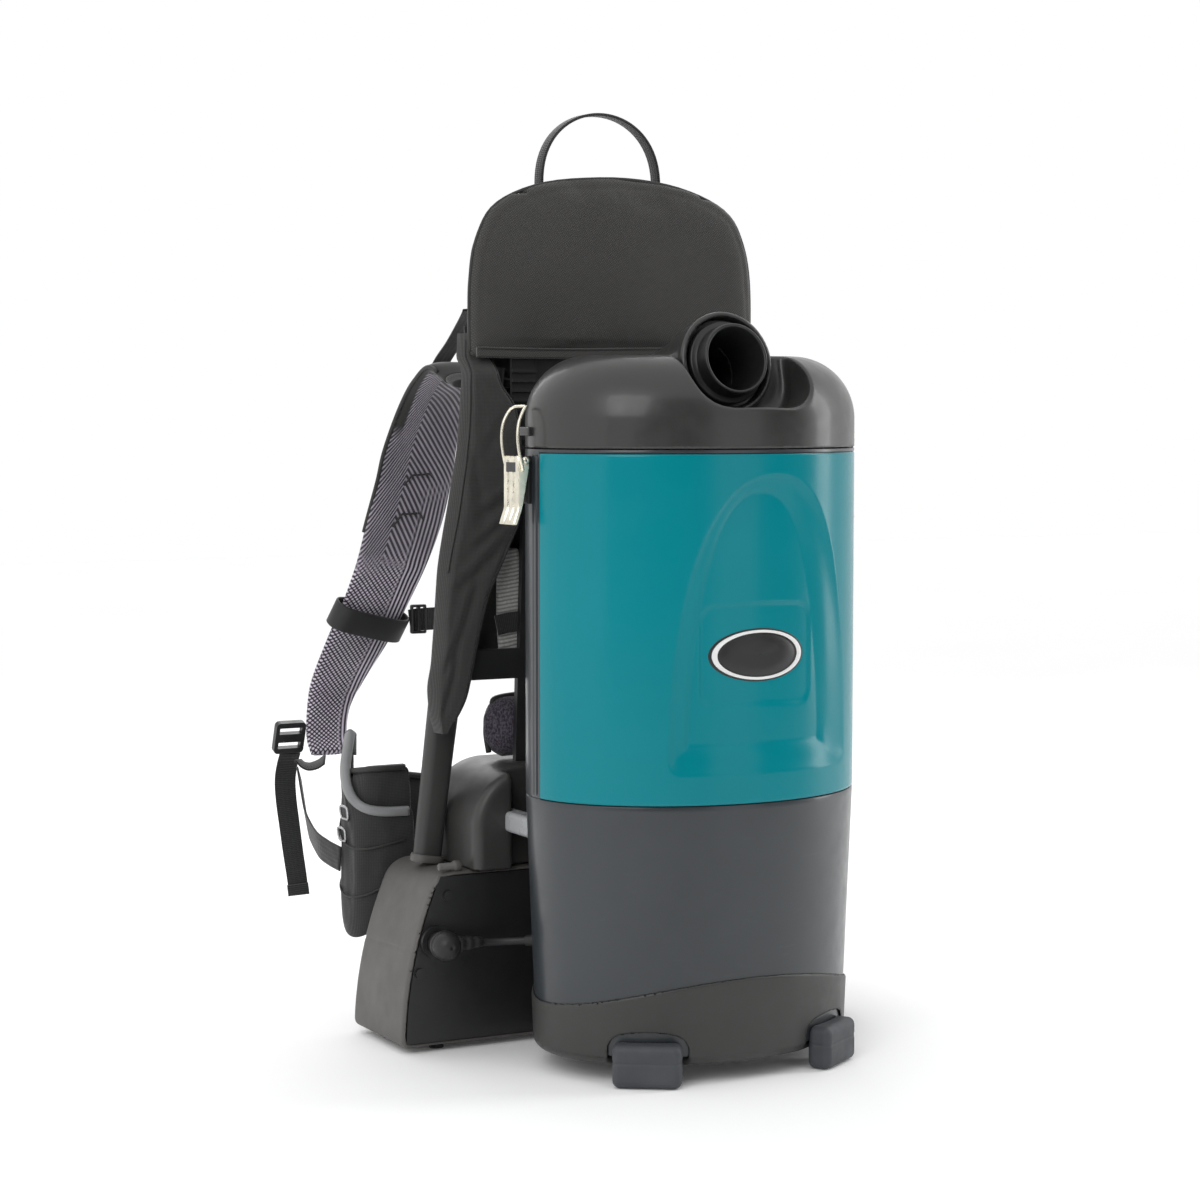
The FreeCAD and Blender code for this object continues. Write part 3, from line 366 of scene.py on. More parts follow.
# ---------------------------------------------------------------- meshes
def new_object(name, points, faces, material, smooth=True, uvs=None):
    """A mesh object from millimetre points about the axis."""
    mesh = bpy.data.meshes.new(name)
    mesh.from_pydata(place(points).tolist(), [], [tuple(int(i) for i in f) for f in faces])
    mesh.update()
    if uvs is not None:
        layer = mesh.uv_layers.new(name="UVMap")
        corner = np.zeros(len(mesh.loops), int)
        mesh.loops.foreach_get("vertex_index", corner)
        layer.data.foreach_set("uv", np.asarray(uvs, np.float32)[corner].ravel())
    mesh.polygons.foreach_set("use_smooth", [smooth] * len(mesh.polygons))
    made = bpy.data.objects.new(name, mesh)
    bpy.context.scene.collection.objects.link(made)
    mesh.materials.append(material)
    return made


def finish_piece(piece, body, replaces=()):
    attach(piece, body)
    if replaces:
        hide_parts(*replaces)
    return piece


def sharpen(piece, degrees=38):
    """Keeps creases crisp on an otherwise smooth piece."""
    bm = bmesh.new()
    bm.from_mesh(piece.data)
    limit = math.radians(degrees)
    for edge in bm.edges:
        if len(edge.link_faces) == 2 and edge.calc_face_angle() > limit:
            edge.smooth = False
    bm.to_mesh(piece.data)
    bm.free()
    return piece


def grid_faces(rows, columns, close_rows=False, close_columns=False):
    """Quads of a grid of points stored row by row."""
    faces = []
    for i in range(rows if close_rows else rows - 1):
        for j in range(columns if close_columns else columns - 1):
            a, b = i * columns + j, i * columns + (j + 1) % columns
            c, d = ((i + 1) % rows) * columns + (j + 1) % columns, ((i + 1) % rows) * columns + j
            faces.append((a, b, c, d))
    return faces


def oval_xy(angle, inset=0.0):
    """Points of the canister's plan at angles from +X, counter-clockwise: deeper at the front."""
    depth = np.where(np.sin(angle) < 0, FRONT, BACK) - inset
    return (HALF_WIDTH - inset) * np.cos(angle), depth * np.sin(angle)


def oval_skin(name, angle, rings, material):
    """A closed skin round the axis from (inset, z) rings, each inset a number or one per angle."""
    points = []
    for inset, z in rings:
        x, y = oval_xy(angle, np.broadcast_to(np.asarray(inset, float), angle.shape))
        points.append(np.stack([x, y, np.full(len(angle), float(z))], 1))
    faces = grid_faces(len(rings), len(angle), close_rows=True, close_columns=True)
    return new_object(name, np.concatenate(points), faces, material)


# ---------------------------------------------------------------- shapes by distance fields
def surface_nets(field, low, high, step):
    """Points and quads of the surface where field(x, y, z) is zero, on a regular grid."""
    low, high = np.asarray(low, float), np.asarray(high, float)
    count = np.ceil((high - low) / step).astype(int) + 1
    axes = [low[k] + step * np.arange(count[k]) for k in range(3)]
    grid = np.meshgrid(*axes, indexing="ij")
    value = field(*grid)
    inside = value < 0
    corners = [(i, j, k) for i in (0, 1) for j in (0, 1) for k in (0, 1)]
    cell_shape = tuple(count - 1)

    def shifted(array, offset):
        return array[tuple(slice(o, o + s) for o, s in zip(offset, cell_shape))]

    total = np.zeros(cell_shape + (3,))
    hits = np.zeros(cell_shape)
    for a in corners:
        for axis in range(3):
            if a[axis]:
                continue
            b = tuple(a[k] + (k == axis) for k in range(3))
            va, vb = shifted(value, a), shifted(value, b)
            cross = (va < 0) != (vb < 0)
            t = np.where(cross, va / np.where(cross, va - vb, 1.0), 0.0)
            for k in range(3):
                total[..., k] += np.where(cross, a[k] + t * (k == axis), 0.0)
            hits += cross
    used = hits > 0
    number = np.full(cell_shape, -1)
    number[used] = np.arange(used.sum())
    cell = np.argwhere(used)
    points = low + step * (cell + total[used] / hits[used][:, None])
    faces = []
    for axis in range(3):
        u, v = (axis + 1) % 3, (axis + 2) % 3
        first = [slice(None)] * 3
        second = [slice(None)] * 3
        first[axis], second[axis] = slice(0, -1), slice(1, None)
        change = inside[tuple(first)] != inside[tuple(second)]
        where = np.argwhere(change)
        where = where[(where[:, u] > 0) & (where[:, v] > 0)]
        where = where[(where[:, u] < cell_shape[u]) & (where[:, v] < cell_shape[v])]
        quad = []
        for du, dv in ((0, 0), (-1, 0), (-1, -1), (0, -1)):
            at = where.copy()
            at[:, u] += du
            at[:, v] += dv
            quad.append(number[tuple(at.T)])
        quad = np.stack(quad, 1)
        flip = ~inside[tuple(where.T)]
        quad[flip] = quad[flip][:, ::-1]
        faces.append(quad)
    return points, np.concatenate(faces)


def slope(field, points, reach=0.05):
    """The field's gradient at points."""
    out = np.zeros_like(points)
    for k in range(3):
        ahead, behind = points.copy(), points.copy()
        ahead[:, k] += reach
        behind[:, k] -= reach
        out[:, k] = (field(*ahead.T) - field(*behind.T)) / (2 * reach)
    return out


def carve(name, field, low, high, step, material, settle=3):
    """A piece from a distance field: netted, drawn on to the surface, and shaded by the field."""
    points, faces = surface_nets(field, low, high, step)
    for _ in range(settle):
        gradient = slope(field, points)
        move = field(*points.T)[:, None] * gradient / np.maximum((gradient ** 2).sum(1)[:, None], 1e-6)
        length = np.linalg.norm(move, axis=1)[:, None]
        points = points - move * np.minimum(1.0, 0.5 * step / np.maximum(length, 1e-9))
    made = new_object(name, points, faces, material)
    normal = slope(field, points)
    normal /= np.maximum(np.linalg.norm(normal, axis=1)[:, None], 1e-9)
    made.data.normals_split_custom_set_from_vertices(normal.tolist())
    return made


def smooth_max(a, b, k):
    """Intersection whose edge is rounded over about k."""
    h = np.clip(k - np.abs(a - b), 0, None) / k
    return np.maximum(a, b) + h * h * k / 4


def smooth_min(a, b, k):
    return -smooth_max(-a, -b, k)


def oval_field(x, y, inset=0.0):
    """Distance-like value from the canister's oval: negative inside."""
    a, depth = HALF_WIDTH - inset, np.where(y < 0, FRONT, BACK) - inset
    k0 = np.sqrt((x / a) ** 2 + (y / depth) ** 2) + 1e-9
    k1 = np.sqrt((x / a ** 2) ** 2 + (y / depth ** 2) ** 2) + 1e-9
    return k0 * (k0 - 1) / k1


def rounded_top(flat, z, top, radius):
    """An upright wall given by flat, closed by a top with a round of that radius."""
    u, v = flat + radius, z - (top - radius)
    return np.hypot(np.maximum(u, 0), np.maximum(v, 0)) + np.minimum(np.maximum(u, v), 0) - radius


def box_field(x, y, z, centre, half, radius=0.0):
    """A block with rounded edges and corners."""
    q = [np.abs(p - c) - (h - radius) for p, c, h in zip((x, y, z), centre, half)]
    outside = np.sqrt(sum(np.maximum(v, 0) ** 2 for v in q))
    return outside + np.minimum(np.maximum(np.maximum(q[0], q[1]), q[2]), 0) - radius


def lathe(name, profile, origin, direction, material, steps=96):
    """A closed skin turned about a line: each (radius, distance along) of the profile is a ring."""
    d = np.asarray(direction, float) / np.linalg.norm(direction)
    side = np.cross(d, (0.0, 0.0, 1.0) if abs(d[2]) < 0.9 else (1.0, 0.0, 0.0))
    side /= np.linalg.norm(side)
    up = np.cross(side, d)
    angle = np.linspace(0, 2 * math.pi, steps, endpoint=False)[:, None]
    around = np.cos(angle) * side + np.sin(angle) * up
    rings = [np.asarray(origin, float) + d * a + around * r for r, a in profile]
    return new_object(name, np.concatenate(rings),
                      grid_faces(len(rings), steps, close_rows=True, close_columns=True), material)


def unit(rows):
    return rows / np.linalg.norm(rows, axis=1)[:, None]


def curve_through(points, per_run=8):
    """A smooth line through points (Catmull-Rom)."""
    p = np.asarray(points, float)
    p = np.vstack([2 * p[0] - p[1], p, 2 * p[-1] - p[-2]])
    out = []
    for i in range(1, len(p) - 2):
        for t in np.arange(per_run) / per_run:
            out.append(0.5 * (2 * p[i] + (p[i + 1] - p[i - 1]) * t
                              + (2 * p[i - 1] - 5 * p[i] + 4 * p[i + 1] - p[i + 2]) * t * t
                              + (3 * p[i] - p[i - 1] - 3 * p[i + 1] + p[i + 2]) * t ** 3))
    out.append(p[-2])
    return np.array(out)


def round_rect(width, thick, radius, arc=3):
    """Section points (across, out) of a rounded rectangle, counter-clockwise."""
    out = []
    for sx, sy, start in ((1, 1, 0), (-1, 1, 90), (-1, -1, 180), (1, -1, 270)):
        for i in range(arc + 1):
            a = math.radians(start + 90 * i / arc)
            out.append((sx * (width / 2 - radius) + radius * math.cos(a),
                        sy * (thick / 2 - radius) + radius * math.sin(a)))
    return np.array(out)


def sweep(name, centres, across, sections, material):
    """A closed bar: section points (across, out) carried along a line.

    across is one direction, or one for each station; sections is one section or one for each."""
    c = np.asarray(centres, float)
    n = len(c)
    tangent = unit(np.gradient(c, axis=0))
    side = np.broadcast_to(np.asarray(across, float), (n, 3)).copy()
    side = unit(side - tangent * (side * tangent).sum(1)[:, None])
    out = np.cross(side, tangent)
    section = np.asarray(sections, float)
    if section.ndim == 2:
        section = np.broadcast_to(section, (n,) + section.shape)
    m = section.shape[1]
    points = c[:, None] + side[:, None] * section[..., :1] + out[:, None] * section[..., 1:]
    length = np.concatenate([[0], np.cumsum(np.linalg.norm(np.diff(c, axis=0), axis=1))])
    uvs = np.stack([section[..., 0], np.broadcast_to(length[:, None], (n, m))], -1).reshape(-1, 2)
    faces = grid_faces(n, m, close_columns=True)
    faces = [f[::-1] for f in faces] + [tuple(range(m)), tuple(reversed(range((n - 1) * m, n * m)))]
    return new_object(name, points.reshape(-1, 3), faces, material, uvs=uvs)


def round_section(radius, steps):
    """Section points of a round wire."""
    turn = np.linspace(0, 2 * math.pi, steps, endpoint=False)
    return np.stack([radius * np.cos(turn), radius * np.sin(turn)], 1)


def smoothed(values, width):
    """A row of numbers averaged with its neighbours."""
    kernel = np.hanning(width) / np.hanning(width).sum()
    return np.convolve(np.pad(values, width // 2, mode="edge"), kernel, mode="valid")


def mirror_in_place(piece):
    """Moves a piece to the other side of the machine."""
    mesh = piece.data
    co = np.zeros(len(mesh.vertices) * 3, np.float32)
    mesh.vertices.foreach_get("co", co)
    co.reshape(-1, 3)[:, 0] *= -1
    custom = mesh.has_custom_normals
    normals = np.array([n.vector[:] for n in mesh.vertex_normals]) if custom else None
    mesh.vertices.foreach_set("co", co)
    mesh.flip_normals()
    if custom:
        normals[:, 0] *= -1
        mesh.normals_split_custom_set_from_vertices(normals.tolist())
    mesh.update()


def cloth_sheet(name, front, depth, material):
    """A closed sheet of cloth: a grid of points and its copy further back, joined round the rim."""
    rows, columns = front.shape[:2]
    count = rows * columns
    skin = grid_faces(rows, columns)
    rim = [i * columns for i in range(rows)] + [(rows - 1) * columns + j for j in range(1, columns)]
    rim += [i * columns + columns - 1 for i in range(rows - 2, -1, -1)] + list(range(columns - 2, 0, -1))
    faces = [f[::-1] for f in skin] + [tuple(i + count for i in f) for f in skin]
    faces += [(b, a, a + count, b + count) for a, b in zip(rim, rim[1:] + rim[:1])]
    if front[-1, 0, 2] > front[0, 0, 2]:  # rows that run upwards are wound the other way
        faces = [f[::-1] for f in faces]
    flat = front.reshape(-1, 3)
    sheet = new_object(name, np.concatenate([flat, flat + np.array([0.0, depth, 0.0])]), faces, material)
    bm = bmesh.new()
    bm.from_mesh(sheet.data)
    bmesh.ops.recalc_face_normals(bm, faces=bm.faces)
    bm.to_mesh(sheet.data)
    bm.free()
    return sharpen(sheet, 60)


def mirrored(pieces):
    for piece in pieces:
        mirror_in_place(piece)
    return pieces


def join(pieces, name):
    """Several pieces as one object."""
    bpy.ops.object.select_all(action="DESELECT")
    for piece in pieces:
        piece.select_set(True)
    bpy.context.view_layer.objects.active = pieces[0]
    bpy.ops.object.join()
    pieces[0].name = name
    return pieces[0]


# ---------------------------------------------------------------- camera, floor and light
CAMERA_AT = (-1115.5, -1943.8, 527.0)
CAMERA_TURN, CAMERA_DIP = -28.0, 4.0
camera_data = bpy.data.cameras.new("camera")
camera_data.lens = 83.6
camera_data.sensor_width = 36.0
camera = bpy.data.objects.new("camera", camera_data)
bpy.context.scene.collection.objects.link(camera)
camera.location = spot(*CAMERA_AT)
camera.rotation_euler = (math.radians(90 - CAMERA_DIP), 0, math.radians(CAMERA_TURN))
bpy.context.scene.camera = camera


def area_light(name, at, aim, width, height, power):
    data = bpy.data.lights.new(name, "AREA")
    data.shape = "RECTANGLE"
    data.size, data.size_y = width, height
    data.energy = power
    light = bpy.data.objects.new(name, data)
    bpy.context.scene.collection.objects.link(light)
    light.location = spot(*at)
    light.rotation_euler = (Vector(aim) - Vector(at)).to_track_quat("-Z", "Y").to_euler()


def studio():
    """White floor and surroundings, with large soft lights."""
    floor_mat = Mat("floor", (0.985, 0.985, 0.985), 0.85, specular=0.1)
    floor_mat.vary_colour(0.01, 3.0)
    floor_mat.bsdf.inputs["Emission Color"].default_value = (1.0, 1.0, 1.0, 1.0)
    floor_mat.bsdf.inputs["Emission Strength"].default_value = 0.025
    bpy.ops.mesh.primitive_plane_add(size=14.0, location=(0, 0, -0.0004))
    floor = bpy.context.object
    floor.name = "floor"
    floor.data.materials.append(floor_mat.material)
    world = bpy.data.worlds.new("studio")
    bpy.context.scene.world = world
    world.use_nodes = True
    sky = world.node_tree.nodes["Background"]
    sky.inputs["Color"].default_value = (1.0, 1.0, 1.0, 1.0)
    sky.inputs["Strength"].default_value = 1.0
    area_light("key_light", (-1700, -1500, 1500), (0, 0, 350), 1.2, 1.6, 22)
    area_light("side_light", (1900, -500, 1000), (0, 0, 350), 0.5, 1.9, 16)
    area_light("back_light", (300, 1900, 1500), (0, 100, 400), 1.4, 1.2, 14)
    card_mat = Mat("card", (0.03, 0.03, 0.03), 0.9, specular=0.1)
    card_mat.vary_colour(0.05, 3.0)
    for name, at, turn, width, height in (("card_behind_camera", (-1700, -3000, 1500), -28.0, 4.6, 3.6),
                                          ("card_right", (2300, -1500, 1300), 57.0, 2.6, 2.8)):
        bpy.ops.mesh.primitive_plane_add(size=1.0, location=spot(*at))
        card = bpy.context.object
        card.name = name
        card.scale = (width, height, 1.0)
        card.rotation_euler = (math.radians(90), 0, math.radians(turn))
        card.data.materials.append(card_mat.material)
        card.visible_camera = False
    view = bpy.context.scene.view_settings
    view.view_transform = "Standard"
    view.look = "None"


studio()


# ---------------------------------------------------------------- the battery lead
LEAD_DIAMETER = 6.5
LEAD_ROUTE = [(-114, 69, 91.6), (-123, 77, 90.6), (-135, 82.8, 90), (-148, 84.5, 90.2), (-161, 83, 91.2)]


def battery_lead():
    """The short lead from the canister's gland round to the plug on the battery box."""
    line = bpy.data.curves.new("lead_line", "CURVE")
    line.dimensions = "3D"
    spline = line.splines.new("NURBS")
    spline.points.add(len(LEAD_ROUTE) - 1)
    for point, at in zip(spline.points, LEAD_ROUTE):
        point.co = tuple(spot(*at)) + (1.0,)
    spline.order_u = 3
    spline.use_endpoint_u = True
    line.bevel_depth = LEAD_DIAMETER / 2 * MM
    line.bevel_resolution = 6
    line.resolution_u = 12
    line.use_fill_caps = True
    line.materials.append(SOFT_BLACK)
    lead = bpy.data.objects.new("lead", line)
    bpy.context.scene.collection.objects.link(lead)
    return finish_piece(lead, "machine", ["battery_lead"])


lead = battery_lead()


def plug_profile():
    """Domed body with a moulded waist, then the stem into the socket."""
    out = [(0.01, -13.2), (3.4, -12.8), (6.6, -11.4), (9.2, -9.0), (11.0, -6.0), (11.9, -2.4), (12.1, 0.0)]
    out += [(11.5, 0.5), (11.5, 1.6), (12.1, 2.1), (11.9, 4.6), (11.0, 7.6), (9.8, 9.0), (9.2, 9.6)]
    return out + [(9.0, 24.0), (8.6, 24.6), (0.01, 24.8)]


def make_plug():
    body = lathe("plug_body", plug_profile(), (-180, 81, 91), (0, 1, 0), SOFT_BLACK, 64)
    relief = []
    for i in range(29):
        t = i / 28
        ring = 0.45 * math.cos(t * 2 * math.pi * 3.5) * (1 - t * 0.4)
        relief.append((7.6 - 3.4 * t ** 0.8 + ring, 28 * t))
    relief = [(0.01, 0.0)] + relief + [(3.3, 28.4), (0.01, 28.4)]
    sleeve = lathe("plug_relief", relief, (-175, 82.4, 91.4), (1, 0.035, -0.01), SOFT_BLACK, 40)
    return join([body, sleeve], "plug_piece")


plug = finish_piece(make_plug(), "machine", ["plug"])
gland = frame["nodes"]["lead_gland"]
gland.data.materials.clear()
gland.data.materials.append(SOFT_BLACK)


# ---------------------------------------------------------------- lid and inlet
INLET = np.array([0.0, -53.4, 559.4])
TILT = math.radians(12)
INLET_OUT = np.array([0.0, -math.cos(TILT), math.sin(TILT)])
INLET_UP = np.array([0.0, math.sin(TILT), math.cos(TILT)])
HOOD_R, BORE_R, TUBE_R, COLLAR_R = 40.5, 25.0, 28.0, 33.0


def inlet_coords(y, z):
    """Distance out along the inlet's axis, and height above it."""
    out = (y - INLET[1]) * INLET_OUT[1] + (z - INLET[2]) * INLET_OUT[2]
    up = (y - INLET[1]) * INLET_UP[1] + (z - INLET[2]) * INLET_UP[2]
    return out, up


def scoop_field(x, out, up, grow=0.0):
    """Flat-bottomed recess round the hood, open towards the top."""
    sides = smooth_max(np.abs(x - 5.0) - 54.0 - grow, -44.0 - grow - up, 34.0)
    return smooth_max(sides, -8.0 - grow - out, 9.0)


COWL_LIP = 6.0


def lid_field(x, y, z):
    """Domed lid with a recess at the front and the inlet's hood in it."""
    out, up = inlet_coords(y, z)
    dome = rounded_top(oval_field(x, y), z, LID_TOP, 50.0)
    body = smooth_max(dome, -scoop_field(x, out, up), 3.2)
    around = np.hypot(x, up)
    taper = HOOD_R + out * 10.0 / 78.0
    hood = smooth_max(smooth_max(around - taper, out - COWL_LIP, 4.0), -80.0 - out, 10.0)
    body = smooth_min(body, hood, 7.0)
    body = smooth_max(body, -smooth_max(around - 36.5, -4.5 - out, 1.5), 1.6)
    hollow = np.maximum(dome + 3.4, -scoop_field(x, out, up, WALL))
    hollow = np.maximum(hollow, -(np.maximum(around - taper, out + WALL)))
    body = np.maximum(body, -hollow)
    body = np.maximum(body, -np.maximum(around - TUBE_R - 0.3, -34.0 - out))
    body = np.maximum(body, -np.maximum(np.maximum(around - 26.5, out + 33.0), -88.0 - out))
    return smooth_max(body, SEAM_Z + 0.4 - z, 1.6)


def make_lid():
    shell = carve("lid_shell", lid_field, (-144.3, -112.4, 489.3), (144, 100, 606), 1.9, DARK)
    inner, outer = WALL - 0.5, 3 * WALL + 0.6
    lip = [(inner, SEAM_Z + 2), (inner, SEAM_Z + 0.6), (6.6, SEAM_Z + 0.4), (6.6, SEAM_Z - 7.4), (7.2, SEAM_Z - 8)]
    lip += [(outer - 0.6, SEAM_Z - 8), (outer, SEAM_Z - 7.4), (outer, SEAM_Z + 2)]
    ring = oval_skin("lid_lip", np.linspace(0, 2 * math.pi, 180, endpoint=False), lip, DARK)
    keepers = []
    for side in (-1, 1):
        def keeper(x, y, z, side=side):
            return box_field(x, y, z, (side * 139.5, LATCH_Y, 506.5), (3.6, 9, 3.5), 1.2)
        low, high = sorted((side * 134.0, side * 145.0))
        keepers.append(carve("keeper", keeper, (low, 2, 501), (high, 24, 512), 0.9, DARK))
    return join([shell, ring] + keepers, "lid_skin")


lid = finish_piece(make_lid(), "lid", ["lid"])


def cuff_profile():
    """Tube with a rounded mouth and a collar that runs on the hood's face."""
    out = [(BORE_R, -30.0), (BORE_R, 18.4), (BORE_R + 0.5, 19.6), (BORE_R + 1.5, 20.0), (TUBE_R - 0.9, 19.9)]
    out += [(TUBE_R - 0.2, 19.3), (TUBE_R, 18.2), (TUBE_R, 6.6), (TUBE_R + 0.7, 5.6), (COLLAR_R - 1.2, 5.3)]
    out += [(COLLAR_R - 0.3, 4.8), (COLLAR_R, 3.8), (COLLAR_R, 1.4), (COLLAR_R - 0.6, 0.5), (TUBE_R + 0.4, 0.3)]
    return out + [(TUBE_R, -0.4), (TUBE_R, -30.0)]


cuff = lathe("inlet_cuff_skin", cuff_profile(), INLET, INLET_OUT, BLACK, 128)
finish_piece(sharpen(cuff, 50), "inlet", ["inlet_cuff"])


# ---------------------------------------------------------------- coloured cover and badge
EDGE_ANGLE = math.asin(-COVER_EDGE_Y / FRONT)


def front_arc(count):
    """Angles evenly spaced by arc length over the cover, and their distance from its middle."""
    fine = np.linspace(math.pi + EDGE_ANGLE, 2 * math.pi - EDGE_ANGLE, 4001)
    x, y = oval_xy(fine)
    run = np.concatenate([[0], np.cumsum(np.hypot(np.diff(x), np.diff(y)))])
    s = np.linspace(0, run[-1], count)
    return np.interp(s, run, fine), s - run[-1] / 2


def arch(s, z, centre, half, low, top, rise, shoulder):
    """Distance inside an arch whose sides curve in towards its top."""
    t = np.maximum(z - low, 0.0) / (top - low)
    u = np.abs(s - centre) / half

    def value(u, t):
        return u ** shoulder + t ** rise - 1.0

    du = shoulder * u ** (shoulder - 1) / half
    dt = rise * t ** (rise - 1) / (top - low)
    return -value(u, t) / np.maximum(np.hypot(du, dt), 0.004)


FLAT_S, FLAT_Z = 4.5, 335.0                        # middle of the badge's flat


def emboss(s, z):
    """Depth of the cover's moulded arch: sloping sides, an inner panel and a flat for the badge."""
    outer = smooth_min(arch(s, z, 15.0, 89.0, 243.0, 474.0, 2.2, 2.4), z - 243.0, 12.0)
    inner = smooth_min(arch(s, z, 5.0, 63.5, 264.0, 459.5, 1.8, 2.38), z - 265.0, 3.0)
    away, into = np.clip(outer, 0, None), np.clip(-inner, 0, None)
    share = away / np.maximum(away + into, 1e-6)
    soft = np.clip(np.where(inner >= 0, 1.0, share), 0, 1)
    depth = 5.6 * (soft + 0.06 * np.sin(2 * math.pi * soft))
    across, bow = np.abs(s - FLAT_S), (s - FLAT_S) ** 2 / 1400.0
    flat = np.maximum(across - 52.0, np.abs(z - FLAT_Z) - 40.0)
    corner = smooth_max(across - 53.0, np.abs(z - FLAT_Z + bow) - 39.0, 14.0)
    step = 1.0 / (1.0 + np.exp(np.clip(corner * 2.4, -30, 30)))
    return depth + 1.1 * step * (flat < 6)


def cover_points(count_s, count_z, inset, z0, z1, shaped=True):
    angle, s = front_arc(count_s)
    ss, zz = np.meshgrid(s, np.linspace(z0, z1, count_z))
    depth = emboss(ss, zz) if shaped else 0.0
    x, y = oval_xy(angle[None, :], inset + depth)
    return np.stack([np.broadcast_to(x, ss.shape), np.broadcast_to(y, ss.shape), zz], -1)


def make_cover():
    """The teal shell as one closed skin: outside, rolled edges and a plain inside."""
    count_s, count_z = 320, 190
    outer = cover_points(count_s, count_z, 0.0, COVER_Z0 + 0.8, COVER_Z1 - 0.8)
    lip_low = cover_points(count_s, 1, 0.5, COVER_Z0 + 0.15, COVER_Z0 + 0.15, False)
    lip_high = cover_points(count_s, 1, 0.5, COVER_Z1 - 0.15, COVER_Z1 - 0.15, False)
    inside = cover_points(count_s, count_z, 2.4, COVER_Z0 + 0.8, COVER_Z1 - 0.8)
    rows = np.concatenate([lip_low, outer, lip_high, inside[::-1]])
    points = rows.reshape(-1, 3)
    n = len(rows)
    faces = grid_faces(n, count_s, close_rows=True)
    for column, flip in ((0, True), (count_s - 1, False)):
        for i in range(1, count_z + 1):
            a, b = i * count_s + column, (i + 1) * count_s + column
            c, d = ((n - i - 1) % n) * count_s + column, (n - i) % n * count_s + column
            quad = (a, b, c, d)
            if len(set(quad)) == 4:
                faces.append(quad if flip else quad[::-1])
    return sharpen(new_object("cover_shell", points, faces, TEAL), 55)


finish_piece(make_cover(), "machine", ["front_cover"])


# ---------------------------------------------------------------- the tub behind the cover
def tub_angles():
    """Angles round the oval, with extra ones at the cover's edges and at the back strip's groove."""
    angle = list(np.linspace(0, 2 * math.pi, 240, endpoint=False))
    for y in (-8.0, -5.6, -4.8, -2.0, -1.2, 0.6, 1.4):
        lean = math.asin(-y / FRONT)
        for turn in (math.pi + lean, 2 * math.pi - lean):
            angle += [turn - 0.0006, turn + 0.0006] if y == -8.0 else [turn % (2 * math.pi)]
    return np.array(sorted(angle))


def make_tub():
    """Lower shell, the strip at the sides, the back wall and a liner behind the coloured cover."""
    angle = tub_angles()
    y = oval_xy(angle)[1]
    behind = y < -8.0
    groove = np.where((y <= -2.0) & (y >= -4.8), 1.3, 0.0) + np.where((y <= 1.4) & (y >= 0.6), 0.7, 0.0)

    def ring(front, back, z, cut=0.0):
        return np.where(behind, front, back + cut * groove), z

    rings = [(9.4, 22.0), (8.6, 22.1), (8.0, 22.9)]
    rings += [(tub_inset(z), z) for z in np.linspace(30, 214, 12)]
    rings += [(0.09, 217.2), (0.35, 218.3), ring(0.9, 0.6, 218.8), ring(1.6, 0.9, 219.0), ring(9.7, 0.9, 219.05)]
    rings += [ring(9.7, 0.15, 219.8), ring(9.7, 0.0, 221.0), ring(9.7, 0.0, 223.0, 1.0)]
    rings += [ring(9.7, 0.0, z, 1.0) for z in (300, 380, 450, 466)] + [ring(3.4, 0.0, z, 1.0) for z in (478, 487)]
    rings += [ring(3.4, 0.0, 488.5), ring(3.4, 0.0, 489.9), ring(0.7, 0.0, 490.0), ring(0.1, 0.0, 490.5)]
    rings += [(0.0, 491.8), (0.25, 492.6), (0.8, 493.0), (5.7, 493.0), (6.3, 492.4), (6.3, 479.0)]
    rings += [ring(12.0, 6.3, 467.0), ring(12.0, 6.3, 227.0), (14.0, 226.0), (88.0, 226.0), (88.0, 222.0)]
    rings += [(6.2, 222.0), (11.0, 22.6)]
    return sharpen(oval_skin("tub_skin", angle, rings, GREY_BLUE), 32)


finish_piece(make_tub(), "machine", ["canister_tub"])


# ---------------------------------------------------------------- oval badge
BADGE_S, BADGE_Z = 4.5, 334.0                      # its middle: distance round the cover, and height
BADGE_HALF_S, BADGE_HALF_Z = 43.5, 19.5


def on_cover(s, z, inset):
    """Points at a distance s round the cover from its middle, at height z."""
    angle, run = front_arc(801)
    x, y = oval_xy(np.interp(s, run, angle), inset)
    return np.stack([x, y, np.broadcast_to(z, x.shape)], -1)


def badge_skin(name, rings, material):
    """Concentric ovals on the cover: each ring is (share of the badge's size, inset)."""
    turn = np.linspace(0, 2 * math.pi, 96, endpoint=False)
    points = [on_cover(BADGE_S + BADGE_HALF_S * r * np.cos(turn), BADGE_Z + BADGE_HALF_Z * r * np.sin(turn),
                       np.full(len(turn), inset)) for r, inset in rings]
    faces = grid_faces(len(rings), len(turn), close_rows=True, close_columns=True)
    return new_object(name, np.concatenate(points), [f[::-1] for f in faces], material)


BADGE_WHITE = moulded("badge_white", (0.80, 0.80, 0.79), 0.30, grain=0.004)
RIM_RINGS = [(0.885, 6.95), (0.885, 5.5), (0.893, 5.25), (0.91, 5.15), (0.965, 5.15), (0.985, 5.3), (0.992, 5.6),
             (0.992, 6.95)]
rim = badge_skin("badge_rim", RIM_RINGS, BADGE_WHITE)
finish_piece(sharpen(rim, 50), "machine", ["badge"])
FIELD_RINGS = [(0.01, 6.95), (0.01, 5.45), (0.5, 5.5), (0.78, 5.7), (0.80, 5.95), (0.83, 6.05), (0.884, 6.05),
               (0.884, 6.95)]
plate = badge_skin("badge_field", FIELD_RINGS, BLACK)
finish_piece(sharpen(plate, 50), "machine")
outline = badge_skin("badge_bed", [(0.80, 7.0), (0.80, 6.5), (1.04, 6.5), (1.06, 6.62), (1.06, 7.0)], BLACK)
finish_piece(outline, "machine")


